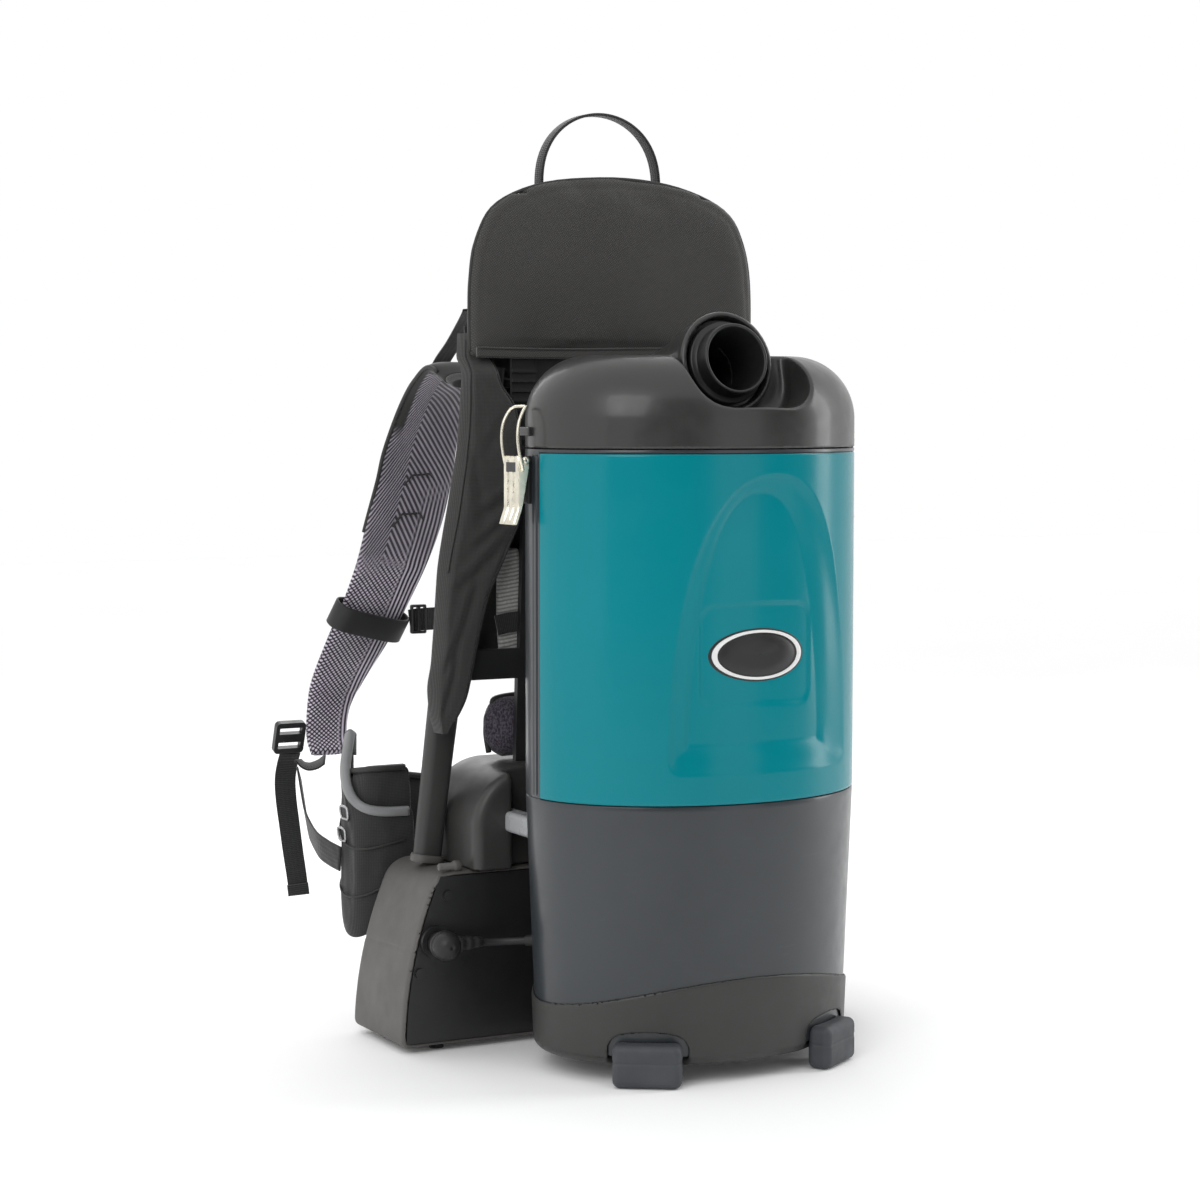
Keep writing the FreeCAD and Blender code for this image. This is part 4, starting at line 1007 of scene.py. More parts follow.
# ---------------------------------------------------------------- base and feet
FOOT_AT, FOOT_TURN = (84.5, -83.0), math.radians(33)


def foot_frame(x, y, side):
    """Coordinates across and through one foot."""
    c, n = math.cos(FOOT_TURN * side), math.sin(FOOT_TURN * side)
    dx, dy = x - FOOT_AT[0] * side, y - FOOT_AT[1]
    return dx * c + dy * n, dy * c - dx * n


def tub_wall(x, y, z, grow):
    return oval_field(x, y, tub_inset(z) - grow)


def base_field(x, y, z):
    inset = np.interp(z, [14.0, 22.0, 82.0], [8.5, 5.8, 3.36])
    body = smooth_max(oval_field(x, y, inset), 14.0 - z, 9.0)
    seam = 82.0 - 24.0 * (x / 134.0) ** 2
    body = smooth_max(body, z - seam + 0.2, 2.6)
    body = np.maximum(body, -np.maximum(tub_wall(x, y, z, 0.25), 21.7 - z))
    for side in (-1, 1):
        u, v = foot_frame(x, y, side)
        arch = 41.0 - 4.0 * (u / 30.0) ** 2
        body = smooth_max(body, -smooth_max(smooth_max(np.abs(u) - 31.0, v - 13.0, 6.0), z - arch, 12.0), 2.5)
    return body


base = carve("base_skin", base_field, (-141.3, -109.4, 11.3), (142, 98, 84), 1.3, BASE_DARK)
finish_piece(base, "machine", ["base_bumper"])


def make_foot(side):
    def field(x, y, z):
        u, v = foot_frame(x, y, side)
        body = box_field(u, v, z, (0.0, 0.0, 17.0), (27.0, 10.0, 17.0), 6.0)
        ridge = 0.5 * np.exp(-((z - 20.0) / 1.1) ** 2)
        return np.maximum(body + ridge, -np.maximum(tub_wall(x, y, z, 0.3), 21.6 - z))

    low, high = sorted((side * 54.0, side * 115.0))
    return carve("foot", field, (low, -108, -1), (high, -54, 36), 1.6, FOOT)


feet = join([make_foot(-1), make_foot(1)], "feet_skin")
finish_piece(feet, "machine", ["front_feet"])


# ---------------------------------------------------------------- lid latches
def lever_section(flange, ridge):
    """Channel section (across, out): two flanges, and a pair of pressed ribs down the face."""
    half, sheet = 13.0, 1.5
    face = [(-half, -0.9), (-half + 0.8, 0.0), (-6.4, 0.0), (-5.6, -ridge), (-3.6, -ridge), (-2.8, -0.15)]
    face = face + [(-a, o) for a, o in reversed(face)]
    under = [(half, -flange), (half - sheet, -flange), (half - sheet, -sheet - 1.2)]
    under += [(-half + sheet, -sheet - 1.2), (-half + sheet, -flange), (-half, -flange)]
    return np.array(face + under)


def make_lever():
    line = [(-153.0, 487.4), (-153.8, 486.6), (-154.0, 485.0), (-154.0, 478.0), (-154.0, 466.0), (-154.0, 452.0)]
    line += [(-154.0, 447.6), (-154.5, 445.2), (-155.6, 442.2), (-157.0, 438.0), (-158.0, 434.8), (-158.0, 434.0)]
    flange = [8.6, 9.2, 9.3, 9.2, 7.0, 4.4, 3.4, 3.2, 3.1, 3.0, 2.8, 2.75]
    ridge = [0.1, 0.3, 0.9, 1.2, 1.2, 1.2, 1.2, 1.2, 1.1, 1.0, 0.6, 0.2]
    centres = [(x, LATCH_Y, z) for x, z in line]
    sections = [lever_section(f, r) for f, r in zip(flange, ridge)]
    lever = sharpen(sweep("lever", centres, (0, 1, 0), sections, ZINC), 30)
    corners = ((5, 475), (21, 475), (21, 482.5), (5, 482.5))
    slot_faces = [(3, 2, 1, 0), (4, 5, 6, 7), (0, 1, 5, 4), (1, 2, 6, 5), (2, 3, 7, 6), (3, 0, 4, 7)]
    slot = new_object("lever_slot", [(x, y, z) for x in (-154.15, -152.9) for y, z in corners], slot_faces,
                      BLACK, False)
    rivet = lathe("rivet", [(0.01, -1.2), (2.4, -1.0), (3.2, 0.0), (3.2, 1.0), (0.01, 1.4)],
                  (-147.0, LATCH_Y - 13.4, 484), (0, 1, 0), ZINC, 24)
    return [lever, slot, rivet]


def wire(name, points, radius, material, steps=12, per_run=7):
    """A round wire along a smooth line."""
    return sweep(name, curve_through(points, per_run), (1, 0.02, 0.03), round_section(radius, steps), material)


def bail_points():
    """One leg's hook, the bowed leg, and the bend under the keeper's lip."""
    reach = 14.4
    leg = [(-150.4, -10.0, 476.0), (-150.4, -13.4, 476.2), (-151.0, -reach, 478.6), (-153.6, -reach, 490.0),
           (-154.8, -reach + 0.2, 502.0), (-153.6, -reach + 0.8, 513.0), (-149.6, -reach + 2.0, 521.6),
           (-146.2, -reach + 4.0, 525.2), (-144.8, -7.0, 526.0)]
    wire_line = leg + [(x, -y, z) for x, y, z in reversed(leg)]
    return [(x, y + LATCH_Y, z) for x, y, z in wire_line]


def make_bracket():
    """Hinge block with its two ears, and a small screw at its foot."""
    def field(x, y, z):
        body = box_field(x, y, z, (-140.6, LATCH_Y, 465.0), (3.0, 8.0, 15.0), 1.4)
        for side in (-1, 1):
            ear = box_field(x, y, z, (-143.0, LATCH_Y + side * 6.5, 482.6), (6.6, 1.5, 4.6), 1.2)
            body = smooth_min(body, ear, 1.0)
        return np.maximum(body, -oval_field(x, y, 0.2))

    block = carve("bracket", field, (-151.5, 3, 448), (-136, 23, 489.5), 0.8, BLACK)
    screw = lathe("bracket_screw", [(0.01, -0.6), (2.3, -0.6), (2.6, 0.4), (2.2, 1.1), (0.01, 1.3)],
                  (-143.2, LATCH_Y, 456), (-1, 0, 0), STEEL, 24)
    pin = lathe("bracket_pin", [(0.01, -12.6), (1.9, -12.6), (1.9, 12.6), (0.01, 12.6)],
                (-147.0, LATCH_Y, 484), (0, 1, 0), STEEL, 20)
    return [block, screw, pin]


def make_latches():
    brackets = []
    for side in ("left", "right"):
        lever = make_lever()
        bail = wire("bail", bail_points(), 1.3, ZINC)
        parts = make_bracket()
        if side == "right":
            mirrored(lever + [bail] + parts)
        finish_piece(join(lever, "lever_skin_" + side), "latch_lever_" + side, ["latch_lever_" + side])
        finish_piece(bail, "latch_bail_" + side, ["latch_bail_" + side])
        brackets += parts
    finish_piece(join(brackets, "bracket_skin"), "machine", ["latch_brackets"])


make_latches()


# ---------------------------------------------------------------- battery box
def box_walls(x, y, z, inset):
    """The box's ends, back, top and bottom, drawn in by inset: a value for each."""
    share = np.clip((z - 5.0) / 142.0, 0, 1)
    slant = 64.0 * share / 142.0
    ends = (np.abs(x) - (209.0 - 32.0 * share ** 2 - inset)) / np.sqrt(1 + slant ** 2)
    return ends, y - (207.0 - 7.0 * share - inset), z - 147.0 + inset, 5.0 + inset - z


def box_body(x, y, z):
    ends, back, top, bottom = box_walls(x, y, z, 0.0)
    crease = 0.45 * np.exp(-((z - 84.0 + 0.04 * (y - 100.0)) / 1.3) ** 2)
    body = smooth_max(smooth_max(ends + crease, top, 16.0), bottom, 7.0)
    body = smooth_max(body, smooth_max(back, 100.0 - y, 0.1), 7.0)
    ends, back, top, bottom = box_walls(x, y, z, 3.0)
    room = smooth_max(smooth_max(smooth_max(ends, top, 14.0), bottom, 6.0), back, 6.0)
    body = smooth_max(body, -room, 1.6)
    gap = np.maximum(np.maximum(170.0 - x, np.abs(y - 152.0) - 14.0), np.abs(z - 88.0) - 11.0)
    return np.maximum(body, -gap)


box_skin = carve("box_skin", box_body, (-211.3, 97.4, 2.3), (212, 210, 150), 1.9, BOX_GREY)
finish_piece(box_skin, "machine", ["battery_box"])


def make_hooks():
    """Hook pins on the box's top front edge, each with a drilled knob."""
    pin = [(0.01, 0.0), (2.4, 0.0), (3.2, 0.8), (3.2, 12.6), (3.8, 13.0), (4.6, 13.9), (4.7, 15.4), (4.7, 17.8)]
    pin += [(4.2, 19.2), (3.2, 19.9), (2.2, 20.0), (2.0, 19.4), (1.9, 17.0), (0.01, 17.0)]
    hooks = [lathe("hook", pin, (side * 174.0, 108.0, 150.6), (-side, 0, 0), BOX_GREY, 40) for side in (-1, 1)]
    return join([sharpen(hook, 60) for hook in hooks], "hook_skin")


finish_piece(make_hooks(), "machine", ["cord_hooks"])


# ---------------------------------------------------------------- saddle and uprights
def saddle_arch(x, z, inset):
    """Arched outline: upright sides and round shoulders."""
    shoulder = 50.0
    u, v = np.abs(x) - (148.0 - shoulder), z - (230.0 - shoulder)
    return np.hypot(np.maximum(u, 0), np.maximum(v, 0)) + np.minimum(np.maximum(u, v), 0) - (shoulder - inset)


def saddle_field(x, y, z):
    body = smooth_max(saddle_arch(x, z, 0.0), smooth_max(92.0 - y, y - 192.0, 0.1), 9.0)
    body = np.maximum(body, 147.6 - z)
    body = np.maximum(body, -np.maximum(saddle_arch(x, z, 4.0), np.maximum(112.0 - y, y - 188.0)))
    notch = smooth_max(np.abs(x) - 114.0, y - 108.0, 4.0)
    return smooth_max(body, -notch, 4.0)


saddle = carve("saddle_skin", saddle_field, (-150.3, 89.4, 146.3), (151, 195, 233), 1.9, FRAME_BLACK)
finish_piece(saddle, "machine", ["saddle"])


def make_upright(side):
    """Rounded flat tube from the box to the yoke, with a collar at its foot."""
    rows = [(-165.4, 149.9, 149.0, 24, 15), (-162, 149.6, 180, 24.5, 15.5), (-158, 149, 215, 25, 16),
            (-150, 147, 283, 27, 15), (-141.5, 145.4, 345, 28.5, 14), (-133, 144, 399, 30, 13),
            (-119, 142.5, 480, 30, 11), (-110, 142.5, 559, 28, 10)]
    line = curve_through(rows, 6)
    sections = [round_rect(w, t, t / 2 - 0.7, 5) for w, t in line[:, 3:]]
    tube = sharpen(sweep("tube", line[:, :3], (1, 0, 0), sections, FRAME_BLACK), 50)
    collar_line = [(-165.5, 150, 148.2), (-165.3, 150, 149.4), (-164.9, 149.9, 153.4), (-164.7, 149.9, 154.6)]
    rings = [round_rect(24.2 + grow, 15.4 + grow, 7.6 + grow / 2 - 0.7, 5) for grow in (3.0, 4.2, 4.2, 2.8)]
    collar = sweep("collar", collar_line, (1, 0, 0), rings, BOX_GREY)
    if side == "right":
        mirrored([tube, collar])
    return join([tube, collar], "upright_skin_" + side)


for side in ("left", "right"):
    finish_piece(make_upright(side), "machine", ["frame_upright_" + side])


# ---------------------------------------------------------------- soft shells
def polygon_field(u, v, corners):
    """Distance to a closed outline in a plane: negative inside."""
    corners = np.asarray(corners, float)
    best = np.full(np.shape(u), np.inf)
    flips = np.zeros(np.shape(u), bool)
    for (ax, ay), (bx, by) in zip(corners, np.roll(corners, -1, axis=0)):
        ex, ey = bx - ax, by - ay
        t = np.clip(((u - ax) * ex + (v - ay) * ey) / (ex * ex + ey * ey), 0, 1)
        best = np.minimum(best, np.hypot(u - ax - t * ex, v - ay - t * ey))
        if ay != by:
            flips ^= ((ay > v) != (by > v)) & (u < ex * (v - ay) / (by - ay) + ax)
    return np.where(flips, -best, best)


def soft_shell(name, field, low, high, material, step=5.0):
    """A padded piece's starting shape: an even mesh of cells about 5 mm across."""
    points, faces = surface_nets(field, low, high, step)
    for _ in range(2):
        gradient = slope(field, points)
        move = field(*points.T)[:, None] * gradient / np.maximum((gradient ** 2).sum(1)[:, None], 1e-6)
        points = points - np.clip(move, -step / 2, step / 2)
    return new_object(name, points, faces, material)


def coords(piece):
    co = np.zeros(len(piece.data.vertices) * 3, np.float32)
    piece.data.vertices.foreach_get("co", co)
    return co.reshape(-1, 3).astype(float)


def set_coords(piece, co):
    piece.data.vertices.foreach_set("co", co.astype(np.float32).ravel())
    piece.data.update()


PUFF_FRAMES = 20


def puff(jobs):
    """Blows padded shells up with Blender's cloth, each point kept within its own cap (mm)."""
    rest = {}
    for piece, cap, pressure in jobs:
        rest[piece.name] = coords(piece)
        cloth = piece.modifiers.new("puff", "CLOTH")
        cloth.settings.quality = 4
        cloth.settings.mass = 0.25
        cloth.settings.tension_stiffness = 12
        cloth.settings.compression_stiffness = 12
        cloth.settings.shear_stiffness = 4
        cloth.settings.bending_stiffness = 0.4
        cloth.settings.use_pressure = True
        cloth.settings.uniform_pressure_force = pressure
        cloth.settings.effector_weights.gravity = 0.0
        cloth.point_cache.frame_start, cloth.point_cache.frame_end = 1, PUFF_FRAMES
    scene = bpy.context.scene
    for number in range(1, PUFF_FRAMES + 1):
        scene.frame_set(number)
    graph = bpy.context.evaluated_depsgraph_get()
    for piece, cap, pressure in jobs:
        mesh = piece.evaluated_get(graph).to_mesh()
        blown = np.zeros(len(mesh.vertices) * 3, np.float32)
        mesh.vertices.foreach_get("co", blown)
        piece.evaluated_get(graph).to_mesh_clear()
        move = blown.reshape(-1, 3).astype(float) - rest[piece.name]
        length = np.linalg.norm(move, axis=1)[:, None]
        limit = cap * MM
        move *= limit * np.tanh(length / limit) / np.maximum(length, 1e-9)
        piece.modifiers.clear()
        set_coords(piece, rest[piece.name] + move)
    scene.frame_set(1)


def refine(piece):
    """Subdivides a piece smoothly and keeps the result as its mesh."""
    piece.modifiers.new("smooth", "SUBSURF").levels = 1
    piece.modifiers["smooth"].render_levels = 1
    graph = bpy.context.evaluated_depsgraph_get()
    mesh = bpy.data.meshes.new_from_object(piece.evaluated_get(graph))
    piece.modifiers.clear()
    old = piece.data
    piece.data = mesh
    bpy.data.meshes.remove(old)
    mesh.name = piece.name
    mesh.polygons.foreach_set("use_smooth", [True] * len(mesh.polygons))


def press(piece, depth):
    """Pushes each point inwards by depth(x, y, z) millimetres along its normal."""
    co = coords(piece)
    normal = np.zeros(len(co) * 3, np.float32)
    piece.data.vertices.foreach_get("normal", normal)
    x, y, z = co[:, 0] / MM, (co[:, 1] - AXIS_Y) / MM, co[:, 2] / MM
    set_coords(piece, co - normal.reshape(-1, 3) * (depth(x, y, z) * MM)[:, None])


def creases(x, z, lines):
    """Cloth folds in the XZ plane: (x, z, direction in degrees, half length, half width, depth)."""
    total = np.zeros(np.shape(x))
    for x0, z0, turn, long, wide, deep in lines:
        c, n = math.cos(math.radians(turn)), math.sin(math.radians(turn))
        along, off = (x - x0) * c + (z - z0) * n, -(x - x0) * n + (z - z0) * c
        off = off - 0.0016 * along ** 2
        fade = np.exp(-(along / long) ** 4)
        crest, trough = np.exp(-(off / wide) ** 2), np.exp(-((off - 1.9 * wide) / wide) ** 2)
        total = total + deep * fade * (crest - 0.6 * trough)
    return total


def soft_bar(name, centres, halves, thick, material, across_count=15):
    """A soft flat bar: at each station a full-edged section, from a centre and a half-width vector."""
    c, h = np.asarray(centres, float), np.asarray(halves, float)
    thick = np.broadcast_to(np.asarray(thick, float), (len(c),)).copy()
    first, last = c[0] - (c[1] - c[0]) * 0.3, c[-1] + (c[-1] - c[-2]) * 0.3
    c = np.vstack([first, c, last])
    h = np.vstack([h[0] * 0.95, h, h[-1] * 0.95])
    thick = np.concatenate([[thick[0] * 0.35], thick, [thick[-1] * 0.35]])
    out = unit(np.cross(h, np.gradient(c, axis=0)))
    u = np.sin(np.linspace(-math.pi / 2, math.pi / 2, across_count))
    full = np.sqrt(np.clip(1 - np.abs(u) ** 5, 0, 1))
    ring_u = np.concatenate([u, u[-2:0:-1]])
    ring_o = np.concatenate([full, -full[-2:0:-1]])
    points = (c[:, None] + h[:, None] * ring_u[None, :, None]
              + out[:, None] * (ring_o[None, :, None] * thick[:, None, None] / 2))
    run = np.concatenate([[0], np.cumsum(np.linalg.norm(np.diff(c, axis=0), axis=1))])
    width = np.linalg.norm(h, axis=1)
    uvs = np.stack([ring_u[None] * width[:, None], np.broadcast_to(run[:, None], (len(c), len(ring_u)))], -1)
    m = len(ring_u)
    faces = [f[::-1] for f in grid_faces(len(c), m, close_columns=True)]
    faces += [tuple(range(m)), tuple(reversed(range((len(c) - 1) * m, len(c) * m)))]
    return new_object(name, points.reshape(-1, 3), faces, material, uvs=uvs.reshape(-1, 2))


PUFFED = []


def padded_piece(piece, body, replaces, cap, pressure=4.0):
    PUFFED.append((piece, cap, pressure))
    finish_piece(piece, body, replaces)
    return piece


# ---------------------------------------------------------------- hood, handle and side panels
HOOD_HALF = [(136.5, 567), (137, 600), (135, 641), (127.5, 670), (110.5, 695), (64, 714), (0, 720.5)]


def hood_outline():
    side = curve_through([(x, z) for x, z in HOOD_HALF], 5)
    left = side[::-1][1:] * np.array([-1, 1])
    return np.vstack([side, left])


HOOD_EDGE = hood_outline()


def hood_field(x, y, z):
    body = smooth_max(polygon_field(x, z, HOOD_EDGE), np.abs(y - 132.5) - 10.5, 13.0)
    slot = np.maximum(np.maximum(np.abs(x) - 92.0, np.abs(y - 134.2) - 4.2), z - 703.0)
    return np.maximum(body, -slot)


hood = soft_shell("hood_skin", hood_field, (-145.4, 116.2, 560.3), (146, 150, 727.5), HOOD_CLOTH, 5.0)
padded_piece(hood, "machine", ["top_pad"], 3.5, 3.0)


PIPING = rubbery("piping", (0.030, 0.030, 0.029), 0.55)


def piping(name, points, radius):
    return sweep(name, points, (0.03, 1, 0.02), round_section(radius, 10), PIPING)


HEM_Y, HEM_Z, HEM_HALF = 121.6, 570.5, 131
hem_line = [(x, HEM_Y + 0.6 * math.sin(x / 31.0), HEM_Z + 0.8 * math.sin(x / 43.0))
            for x in np.linspace(-HEM_HALF, HEM_HALF, 60)]
hem = sweep("hood_hem", hem_line, (0, 0.12, 1), round_rect(9.0, 3.2, 1.5, 3), HOOD_CLOTH)
stitch_rows = []
for offset in (3.2, -3.2):
    line = [(x, y - 1.9, z + offset) for x, y, z in hem_line]
    stitch_rows.append(sweep("hem_stitch", line, (0, 0.12, 1), round_rect(0.9, 0.7, 0.3, 2), PIPING))
finish_piece(join([hem] + stitch_rows, "hood_trim"), "machine")


HANDLE_HALF, HANDLE_Y = 56, 158.0
HANDLE_FOOT, HANDLE_TOP = 711.0, 773.0


def make_handle():
    """Webbing loop with its ends carried straight down to the eyes."""
    rise = HANDLE_TOP - 1.3 - HANDLE_FOOT
    loop = [(-HANDLE_HALF * math.cos(a), HANDLE_Y, HANDLE_FOOT + rise * math.sin(a) ** 0.85)
            for a in np.linspace(0, math.pi, 40)]
    start, end = [[(side * HANDLE_HALF, HANDLE_Y, z) for z in (698.0, 704.0)] for side in (-1, 1)]
    line = start + loop + end[::-1]
    return sweep("handle_web", line, (0, 1, 0), round_rect(14, 2.4, 1.1, 3), WEBBING)


finish_piece(make_handle(), "handle", ["carry_handle"])

PANEL_LEFT = [(586, -137), (566, -138), (530, -140), (499, -142), (466, -149), (425, -156), (393, -161),
              (352, -165), (319, -168), (294, -171), (272, -169), (258, -164)]
PANEL_RIGHT = [(586, -120), (566, -114), (545, -112), (527, -97), (500, -92), (432, -92), (409, -104), (375, -120),
               (334, -131), (285, -143), (268, -152), (258, -160)]


def make_panel():
    """Fabric wing in front of the upright, drawn into folds where it turns round the tube."""
    z = np.linspace(586, 258, 110)
    left, right = [smoothed(np.interp(-z, [-a for a, b in edge], [b for a, b in edge]), 9)
                   for edge in (PANEL_LEFT, PANEL_RIGHT)]
    u = np.linspace(0, 1, 34)
    x = left[:, None] + (right - left)[:, None] * u
    zz = np.broadcast_to(z[:, None], x.shape)
    folds = creases(x, zz, [
        (-108, 448, 32, 26, 4.2, 2.6), (-114, 425, 38, 24, 3.6, 2.2), (-125, 396, 44, 30, 4.5, 2.6),
        (-146, 340, 66, 44, 4.0, 2.2), (-132, 470, 100, 40, 5.0, 1.4), (-112, 505, 62, 22, 5.0, 1.2),
        (-155, 300, 76, 30, 3.0, 1.6), (-120, 540, 120, 18, 4.0, 1.0)])
    wrap = 13.0 * np.clip(1 - u / 0.20, 0, 1)[None, :] ** 2
    tuck = 4.0 * np.clip((u - 0.90) / 0.10, 0, 1)[None, :] ** 2
    under_hem = 13.0 * np.clip((zz - 551.0) / 15.0, 0, 1) ** 1.5
    y = 119.5 + folds + wrap + tuck + under_hem + 1.3 * np.sin(zz / 23.0 + x / 17.0)
    panel = cloth_sheet("panel", np.stack([x, y, zz], -1), 2.6, PANEL_CLOTH)
    seam_l = [(x[i, 3], y[i, 3] - 0.5, z[i]) for i in range(2, 66)]
    seam_r = [(x[i, -1] + 0.4, y[i, -1] - 0.3, z[i]) for i in range(1, len(z) - 3)]
    return [panel, piping("seam", seam_l, 1.1), piping("seam", seam_r, 1.3)]


finish_piece(join(make_panel() + mirrored(make_panel()), "panel_skin"), "machine", ["side_panels"])


# ---------------------------------------------------------------- shoulder straps
STRAP_EDGES = [
    ((-140, 166, 549), (-80, 166, 549)), ((-143, 191, 559), (-77, 192, 557)), ((-144, 219, 547), (-75, 222, 556)),
    ((-144, 240, 532), (-74, 248, 549)), ((-146, 257, 511), (-73, 268, 529)), ((-149, 272, 485), (-74, 282, 495)),
    ((-151, 281, 461), (-76, 288, 466)), ((-159, 286, 427), (-85, 289, 429)), ((-165, 296, 391), (-96, 297, 392)),
    ((-172, 310, 355), (-108, 311, 356)), ((-179.5, 329, 319), (-120.5, 329, 319)),
    ((-187, 347, 282), (-137, 347, 282)), ((-188.5, 355, 255), (-147.5, 355, 255)),
    ((-191, 350, 232), (-153, 351, 232)), ((-191, 340, 218), (-157, 341, 218))]


def strap_line():
    outer = curve_through([a for a, b in STRAP_EDGES], 7)
    inner = curve_through([b for a, b in STRAP_EDGES], 7)
    return (outer + inner) / 2, (inner - outer) / 2


def make_strap(side):
    """Rolled over the shoulder, padded, with a fold near its end."""
    centre, half = strap_line()
    z = centre[:, 2]
    fold = np.exp(-((z - 268.0) / 3.0) ** 2) + 0.7 * np.exp(-((z - 259.0) / 2.4) ** 2)
    fold *= centre[:, 1] > 300
    thick = np.interp(np.arange(len(z)), [0, 20, 80, 98], [11.5, 13.0, 12.5, 9.5]) * (1 - 0.34 * fold)
    strap = soft_bar("strap_skin_" + side, centre, half, thick, STRAP_MESH, 19)
    if side == "right":
        mirror_in_place(strap)
    return padded_piece(strap, "machine", ["shoulder_strap_" + side], 1.2, 2.0)


def strap_point(z, u, lift):
    """A point on the strap's near face, u mm across from its middle, at about height z on the chest."""
    centre, half = strap_line()
    chest = np.where(centre[:, 1] > 250)[0]
    i = chest[np.argmin(np.abs(centre[chest, 2] - z))]
    across = half[i] / np.linalg.norm(half[i])
    out = np.cross(across, centre[i + 1] - centre[i - 1])
    out /= np.linalg.norm(out)
    if out[1] > 0:
        out = -out
    return centre[i] + across * u + out * lift


def strap_trims():
    """Two short raised stitches and the binding on the outer edge."""
    pieces = []
    for z in (468.0, 432.0):
        arc = ((-14, 7), (-11, 2.5), (-8, 0.5), (-3, 0), (3, 0.3), (9, 1.2), (14, 2.6))
        line = [strap_point(z - d, u, 6.7) for u, d in arc]
        pieces.append(wire("strap_stitch", line, 0.9, PIPING, 8, 4))
    centre, half = strap_line()
    edge = centre[3:52] - half[3:52] * 1.005
    return pieces + [piping("strap_binding", edge, 1.8)]


straps = [make_strap(side) for side in ("left", "right")]
finish_piece(join(strap_trims() + mirrored(strap_trims()), "strap_trim"), "machine")


def webbing(name, points, width, across, thick=1.7):
    return sweep(name, curve_through(points, 6), across, round_rect(width, thick, thick / 2 - 0.08, 3), WEBBING)


def both(make, name):
    """A left piece and its mirror, as one object."""
    left, right = make(), make()
    mirror_in_place(right)
    return join([left, right], name)


def strap_root():
    """Fabric root of a shoulder strap, behind the upright."""
    line = curve_through([(-111, 149.5, 544.5), (-111, 156, 546), (-110.5, 161, 547.6), (-110, 164.6, 548.4)], 5)
    half = np.repeat([[29.5, 0, 0]], len(line), axis=0)
    return soft_bar("root", line, half, np.linspace(8, 11, len(line)), PANEL_CLOTH)


finish_piece(both(strap_root, "root_skin"), "machine", ["strap_roots"])


def lifter():
    line = [(-124, 145.6, 606), (-121, 156, 602), (-116, 180, 592), (-113, 205, 579), (-112, 226, 568),
            (-112, 240, 557.5), (-112, 252, 546.5)]
    return webbing("lifter", line, 16, (1, 0, 0))


finish_piece(both(lifter, "lifter_skin"), "machine", ["load_lifters"])


# ---------------------------------------------------------------- chest strap
def ring_band():
    """Elastic band round the strap, pulled a little flat on its near side."""
    steps = 64
    turn = np.linspace(0, 2 * math.pi, steps, endpoint=False)
    px = 36.0 * np.sign(np.cos(turn)) * np.abs(np.cos(turn)) ** 0.55
    py = 11.8 * np.sign(np.sin(turn)) * np.abs(np.sin(turn)) ** 0.75
    section = round_rect(23.5, 2.0, 0.9, 3)
    rings = []
    for i in range(steps):
        j = (i + 1) % steps
        dx, dy = px[j] - px[i - 1], py[j] - py[i - 1]
        out = np.array([dy, -dx, 0.0]) / np.hypot(dx, dy)
        rings.append([np.array([px[i], py[i], 0.0]) + out * o + np.array([0, 0, a]) for a, o in section])
    local = np.array(rings).reshape(-1, 3)
    t, k = math.radians(15), math.radians(27)
    turned = np.stack([local[:, 0] * math.cos(t) + local[:, 2] * math.sin(t), local[:, 1],
                       -local[:, 0] * math.sin(t) + local[:, 2] * math.cos(t)], 1)
    y = turned[:, 1] * math.cos(k) - turned[:, 2] * math.sin(k)
    z = turned[:, 1] * math.sin(k) + turned[:, 2] * math.cos(k)
    points = np.stack([turned[:, 0] - 145.0, y + 317.0, z + 338.0], 1)
    n = len(section)
    uvs = np.stack([np.tile(section[:, 0], steps), np.repeat(np.arange(steps) * 3.0, n)], 1)
    faces = [f[::-1] for f in grid_faces(steps, n, close_rows=True, close_columns=True)]
    return new_object("band", points, faces, SOFT_BLACK, uvs=uvs)


def chest_web():
    line = [(-107, 313.2, 336), (-98, 312, 337), (-70, 308.4, 338), (-45, 306.6, 338), (-29.5, 306.2, 338)]
    return webbing("chest_web", line, 20, (0, 0, 1))


def slider():
    """Bar slider on the chest webbing."""
    def field(x, y, z):
        body = box_field(x, y, z, (-99.0, 312.0, 337.5), (7.5, 2.6, 13.0), 1.6)
        for dx in (-3.4, 3.4):
            hole = box_field(x, y, z, (-99.0 + dx, 312.0, 337.5), (2.2, 6.0, 10.6), 0.8)
            body = smooth_max(body, -hole, 0.6)
        return body
    return carve("slider", field, (-108, 308, 323), (-90, 316, 352), 0.8, BLACK)


bands = [both(ring_band, "bands"), both(chest_web, "chest_webs"), both(slider, "sliders")]
finish_piece(join(bands, "chest_strap_skin"), "machine", ["sternum_straps"])


# ---------------------------------------------------------------- lower straps
def strap_link():
    line = [(-176, 344, 213), (-181, 348, 208.5), (-187, 351.5, 206.5), (-192, 355, 208), (-196, 358.5, 212)]
    return webbing("link", line, 20, (0.3, 0.9, 0.2))


def strap_lower():
    line = [(-198, 351, 201), (-200, 341, 190), (-203, 328, 178), (-206.5, 313, 166), (-209, 298, 157.5),
            (-211, 275, 149), (-208.5, 258, 144), (-204.5, 241, 140.5)]
    return webbing("lower", line, 22, (-0.1, 0.2, 0.9))


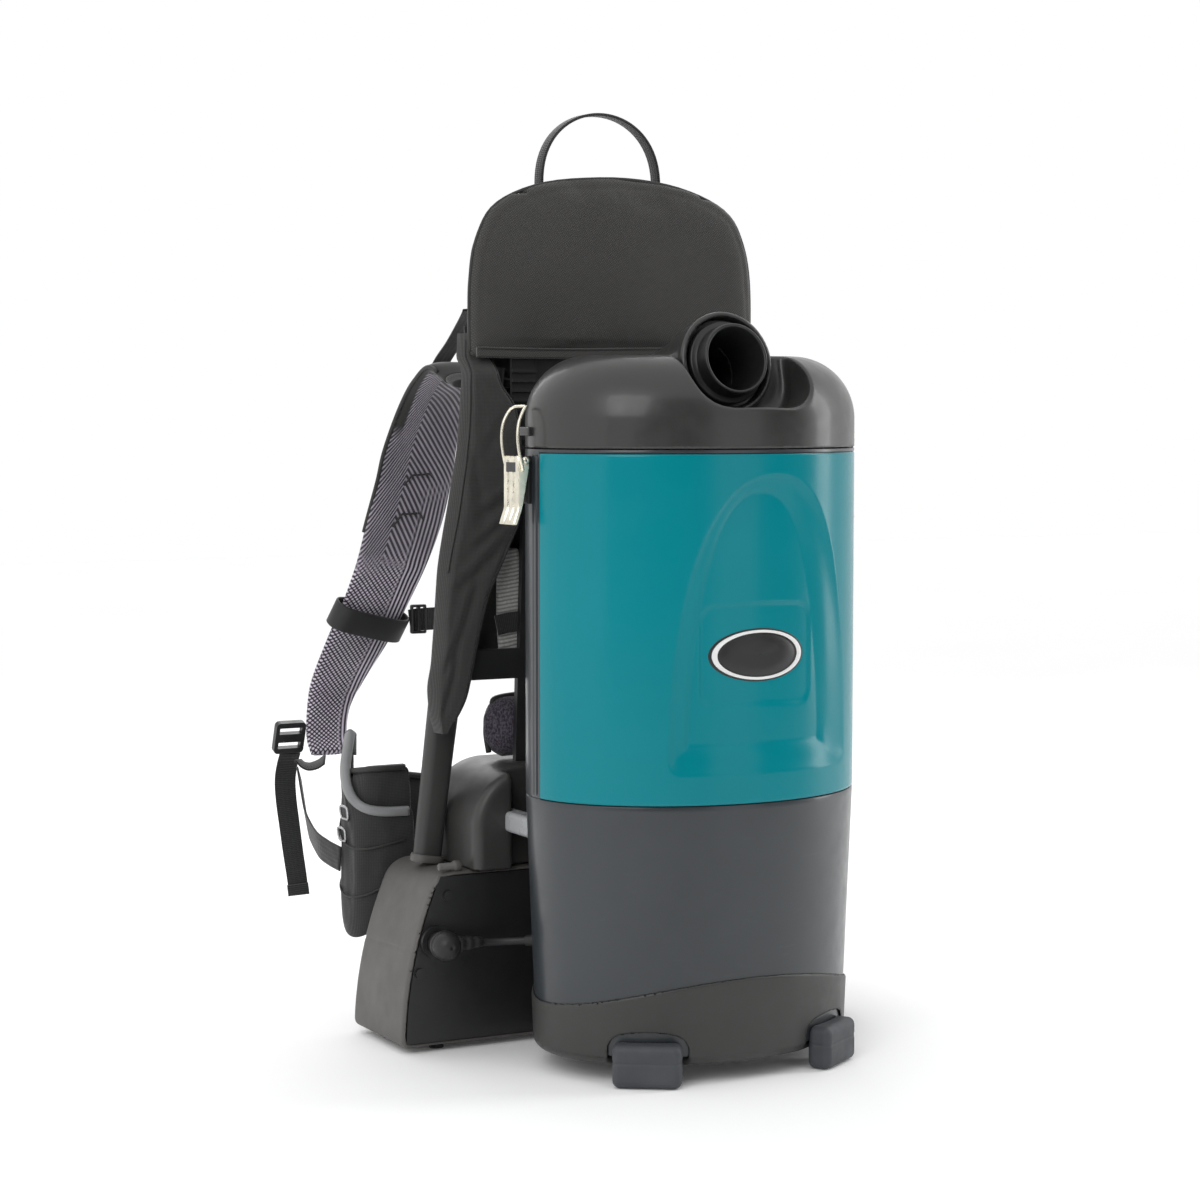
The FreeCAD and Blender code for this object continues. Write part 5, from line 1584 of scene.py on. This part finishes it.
def strap_tail():
    line = curve_through([(-198, 371.5, 217), (-199, 376, 207), (-200.5, 378, 192), (-200, 377, 174),
                          (-198.5, 373.5, 152), (-197, 369, 128), (-195.6, 364, 106), (-195, 361, 91)], 7)
    n = len(line)
    lean = np.linspace(0, 0.45, n)
    across = np.stack([np.ones(n), -lean, 0.15 * np.sin(np.linspace(0, 5, n))], 1)
    sections = [round_rect(w, 1.7, 0.77, 3) for w in np.linspace(20, 17.5, n)]
    return sweep("tail", line, across, sections, WEBBING)


def tail_end():
    """Folded and stitched end of the tail."""
    line = [(-195.4, 362.9, 100), (-195.1, 361.7, 94), (-194.9, 361.1, 90)]
    return sweep("tail_end", line, (1, -0.45, 0), round_rect(19, 4.2, 1.6, 3), WEBBING)


LOWER_STRAPS = ((strap_link, "links"), (strap_lower, "lowers"), (strap_tail, "tails"), (tail_end, "ends"))
lower = [both(make, name) for make, name in LOWER_STRAPS]
finish_piece(join(lower, "lower_strap_skin"), "machine", ["lower_straps"])


# ---------------------------------------------------------------- hip belt
BELT_ROUTE = [(-150, 212), (-176, 214), (-192, 221), (-198, 235), (-196, 250), (-184, 266), (-160, 278),
              (-130, 286), (-102, 289)]
BELT_THICK = 8.5


def beside(tangent):
    """Plan directions a quarter turn from the tangents."""
    return np.stack([-tangent[:, 1], tangent[:, 0]], 1)


def belt_wall(name, route, low, high, shift):
    """A padded wall along a plan route: upright sections from low(t) to high(t)."""
    line = curve_through(route, 6)
    line = line - beside(unit(np.gradient(line, axis=0))) * shift
    t = np.linspace(0, 1, len(line))
    z0, z1 = low(t), high(t)
    centre = np.stack([line[:, 0], line[:, 1], (z0 + z1) / 2], 1)
    half = np.stack([np.zeros(len(t)), np.zeros(len(t)), (z1 - z0) / 2], 1)
    return soft_bar(name, centre, half, BELT_THICK, BELT_CLOTH, 31), line, z0, z1


def outer_low(t):
    return 101.0 - 27.0 * np.sin(math.pi * np.minimum(t * 0.9, 1.0))


def outer_high(t):
    return 184.0 + 66.0 * t ** 3


def inner_low(t):
    return 109.0 - 19.0 * np.sin(math.pi * t)


def inner_high(t):
    return 219.0 - 19.0 * t ** 2


def belt_side():
    """Outer wing with its pale rolled lip and seams, and the inner pad behind it."""
    outer, line, z0, z1 = belt_wall("belt_outer", BELT_ROUTE[:6], outer_low, outer_high, 0.0)
    inner, in_line, _, in_z1 = belt_wall("belt_inner", BELT_ROUTE, inner_low, inner_high, 9.0)
    tangent = unit(np.gradient(line, axis=0))
    out = beside(tangent)
    lip_line = [(line[i, 0], line[i, 1], z1[i] - 1.5) for i in range(1, len(line))]
    turned = line[-1] + tangent[-1] * 2.2
    lip_line += [(turned[0], turned[1], z1[-1] - 8.0), (turned[0], turned[1], z1[-1] - 24.0)]
    lip_line = curve_through(lip_line[::2] if len(lip_line) % 2 else lip_line[::2] + [lip_line[-1]], 3)
    lip = sweep("belt_lip", lip_line, (out[5, 0], out[5, 1], 0.0), round_rect(10.6, 8.0, 3.4, 4), PALE_LIP)
    trims = []
    face = line + out * 4.6
    for share in (0.72, 0.36):
        seam = [(face[i, 0], face[i, 1], z0[i] + (z1[i] - z0[i]) * (share - 0.12 * i / len(line)))
                for i in range(2, len(line) - 1)]
        trims.append(piping("belt_seam", curve_through(seam, 2), 1.0))
    top = [(in_line[i, 0], in_line[i, 1], in_z1[i] + 0.2) for i in range(1, len(in_line) - 1)]
    binding = round_rect(5.0, 9.6, 2.2, 3)
    trims.append(sweep("inner_binding", curve_through(top[::2], 3), (0, 0, 1), binding, PIPING))
    return outer, inner, lip, trims


def clips():
    """Small plated hooks on the wing's outer face, where the webbing passes."""
    pieces = []
    for x, y, z, lean in ((-202.4, 236, 176, 6), (-203.0, 240, 158, -4)):
        frame_line = [(x, y - 7, z), (x - 1.2, y - 7, z + 9), (x - 1.2, y + 7, z + 9), (x, y + 7, z)]
        ring = frame_line + [(x + 0.2, y, z - 1.0), (x, y - 6.6, z - 0.6)]
        pieces.append(wire("clip", [(a, b, c + lean * 0.1) for a, b, c in ring], 1.1, STEEL, 10, 5))
    return pieces


def make_belts():
    for side in ("left", "right"):
        outer, inner, lip, trims = belt_side()
        trims += clips()
        if side == "right":
            mirrored([outer, inner, lip] + trims)
        body = "belt_" + side
        padded_piece(outer, body, ["belt_wing_" + side], 2.2, 3.0)
        padded_piece(inner, body, (), 2.2, 3.0)
        lip.name = "belt_lip_" + side
        finish_piece(lip, body)
        finish_piece(join(trims, "belt_trim_" + side), body)
        line = [(-118.5, 285.4, 150), (-108, 286.8, 149.5), (-97, 287.6, 148.6), (-86.2, 288, 148)]
        web = webbing("belt_web_skin_" + side, line, 38, (0, 0, 1))
        if side == "right":
            mirror_in_place(web)
        finish_piece(web, body, ["belt_web_" + side])


make_belts()


# ---------------------------------------------------------------- pads on the wearer's side
def back_pad_field(x, y, z):
    pad = box_field(x, y, z, (0.0, 147.0, 430.5), (59.0, 9.0, 123.0), 7.5)
    for z0 in (372.0, 432.0, 492.0):
        pad = pad + 2.6 * np.exp(-((z - z0 - 6.0 * np.abs(x) / 60.0) / 6.0) ** 2)
    return pad


back_pad = soft_shell("back_pad_skin", back_pad_field, (-66.3, 134.2, 301.1), (67, 160, 560), BELT_CLOTH, 4.6)
padded_piece(back_pad, "machine", ["back_pad"], 2.4, 3.0)


def make_back_sheet():
    """Fabric between the uprights, gathered a little where it is sewn to the pad."""
    z = np.linspace(312.5, 592.0, 74)
    half = np.interp(z, [312, 400, 538, 592], [125.5, 123.5, 121.0, 126.0])
    u = np.linspace(-1, 1, 81)
    x = half[:, None] * u
    zz = np.broadcast_to(z[:, None], x.shape)
    ripple = 0.9 * np.sin(zz / 9.0 + 2.2 * np.sin(x / 22.0)) * np.clip((np.abs(x) - 58) / 14.0, 0, 1)
    y = 156.6 + ripple * np.clip((half[:, None] - np.abs(x)) / 8.0, 0, 1)
    return cloth_sheet("back_sheet", np.stack([x, y, zz], -1), 1.8, PANEL_CLOTH)


finish_piece(make_back_sheet(), "machine")


def lumbar_field(x, y, z):
    pad = box_field(x, y, z, (0.0, 153.5, 258.0), (114.0, 15.0, 29.0), 24.0)
    return pad + 2.2 * np.exp(-(x / 7.0) ** 2)


lumbar = soft_shell("lumbar_skin", lumbar_field, (-120.3, 133.2, 223.1), (121, 174, 292), FLEECE, 4.8)
padded_piece(lumbar, "machine", ["lumbar_pad"], 2.6, 3.0)
border = curve_through([(-106, 154, 236), (-108.5, 154, 256), (-103.5, 154, 274), (-90, 154, 283), (0, 154, 285),
                        (90, 154, 283), (103.5, 154, 274), (108.5, 154, 256), (106, 154, 236)], 8)
finish_piece(piping("lumbar_border", border, 2.4), "machine")


def mesh_bits():
    """Pale knit pads beside the spine, bound across by a dark band."""
    line = curve_through([(x, 145, z) for x, z in ((-92, 407), (-91.5, 385), (-90, 350), (-87, 325), (-84.5, 304))], 6)
    widths = np.interp(line[:, 2], [304, 350, 407], [14.6, 11.8, 8.8])
    half = np.stack([widths, np.zeros(len(line)), np.zeros(len(line))], 1)
    return soft_bar("mesh_bit", line, half, 12.0, PALE_KNIT, 13)


mesh_left, mesh_right = mesh_bits(), mesh_bits()
mirror_in_place(mesh_right)
mesh_right.name = "mesh_bit_right"
padded_piece(mesh_left, "machine", ["mesh_pads"], 1.0, 2.0)
padded_piece(mesh_right, "machine", (), 1.0, 2.0)


def mesh_band():
    line = [(-106, 138.4, 344), (-96, 137.6, 346), (-86, 137.6, 347), (-74, 138.4, 348)]
    return webbing("mesh_band", line, 17, (0, 0, 1), 2.2)


finish_piece(both(mesh_band, "mesh_bands"), "machine")

puff(PUFFED)
for piece, _, _ in PUFFED:
    if piece.name in ("hood_skin", "back_pad_skin", "lumbar_skin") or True:
        refine(piece)


def hood_quilting(x, y, z):
    """How far the hood's front is pressed in: a sewn line along its edge, and slow waves."""
    seam = 1.1 * np.exp(-((polygon_field(x, z, HOOD_EDGE) + 11.0) / 1.6) ** 2)
    waves = 0.7 * np.sin(x / 37.0 + z / 61.0) * np.sin(z / 29.0 - x / 90.0)
    return np.where(y < 126, seam, 0.0) + np.where(y < 128, waves, 0.0)


press(hood, hood_quilting)


def hood_edge_piping():
    """Piping sewn along the hood's own edge, found on the cloth after it has been drawn in."""
    seam_y = 131.0
    shape = coords(hood) / MM - np.array([0.0, AXIS_Y / MM, 0.0])
    near = shape[np.abs(shape[:, 1] - seam_y) < 5.0]
    line = []
    for x, z in HOOD_EDGE:
        at = near[np.argmin(np.hypot(near[:, 0] - x, near[:, 2] - z))]
        line.append((at[0], seam_y, at[2]))
    line = np.array(line)
    return piping("hood_piping", np.stack([smoothed(line[:, k], 7) for k in range(3)], 1), 1.5)


finish_piece(hood_edge_piping(), "machine")


def dress_cad_nodes():
    """Every CAD node that still shows gets its procedural material."""
    by_slot = {
        "grey_blue_plastic": GREY_BLUE, "teal_plastic": TEAL, "dark_plastic": DARK, "black_plastic": BLACK,
        "box_plastic": BOX_GREY, "frame_plastic": FRAME_BLACK, "pale_plastic": PALE, "zinc": ZINC, "steel": STEEL,
        "aluminium": ALUMINIUM, "seal_rubber": SEAL, "foot_rubber": FOOT, "soft_black": SOFT_BLACK,
        "filter_felt": FELT, "hood_fabric": HOOD_CLOTH, "belt_fabric": BELT_CLOTH, "webbing": WEBBING,
        "mesh_fabric": BELT_CLOTH, "pale_mesh": PALE_KNIT,
    }
    slots = {row["node"]: row["material_slot"] for row in frame["record"]["subparts"]}
    for name, node in frame["nodes"].items():
        if node.hide_render:
            continue
        node.data.materials.clear()
        node.data.materials.append(BLACK if name == "box_screws" else by_slot.get(slots[name], BLACK))


dress_cad_nodes()
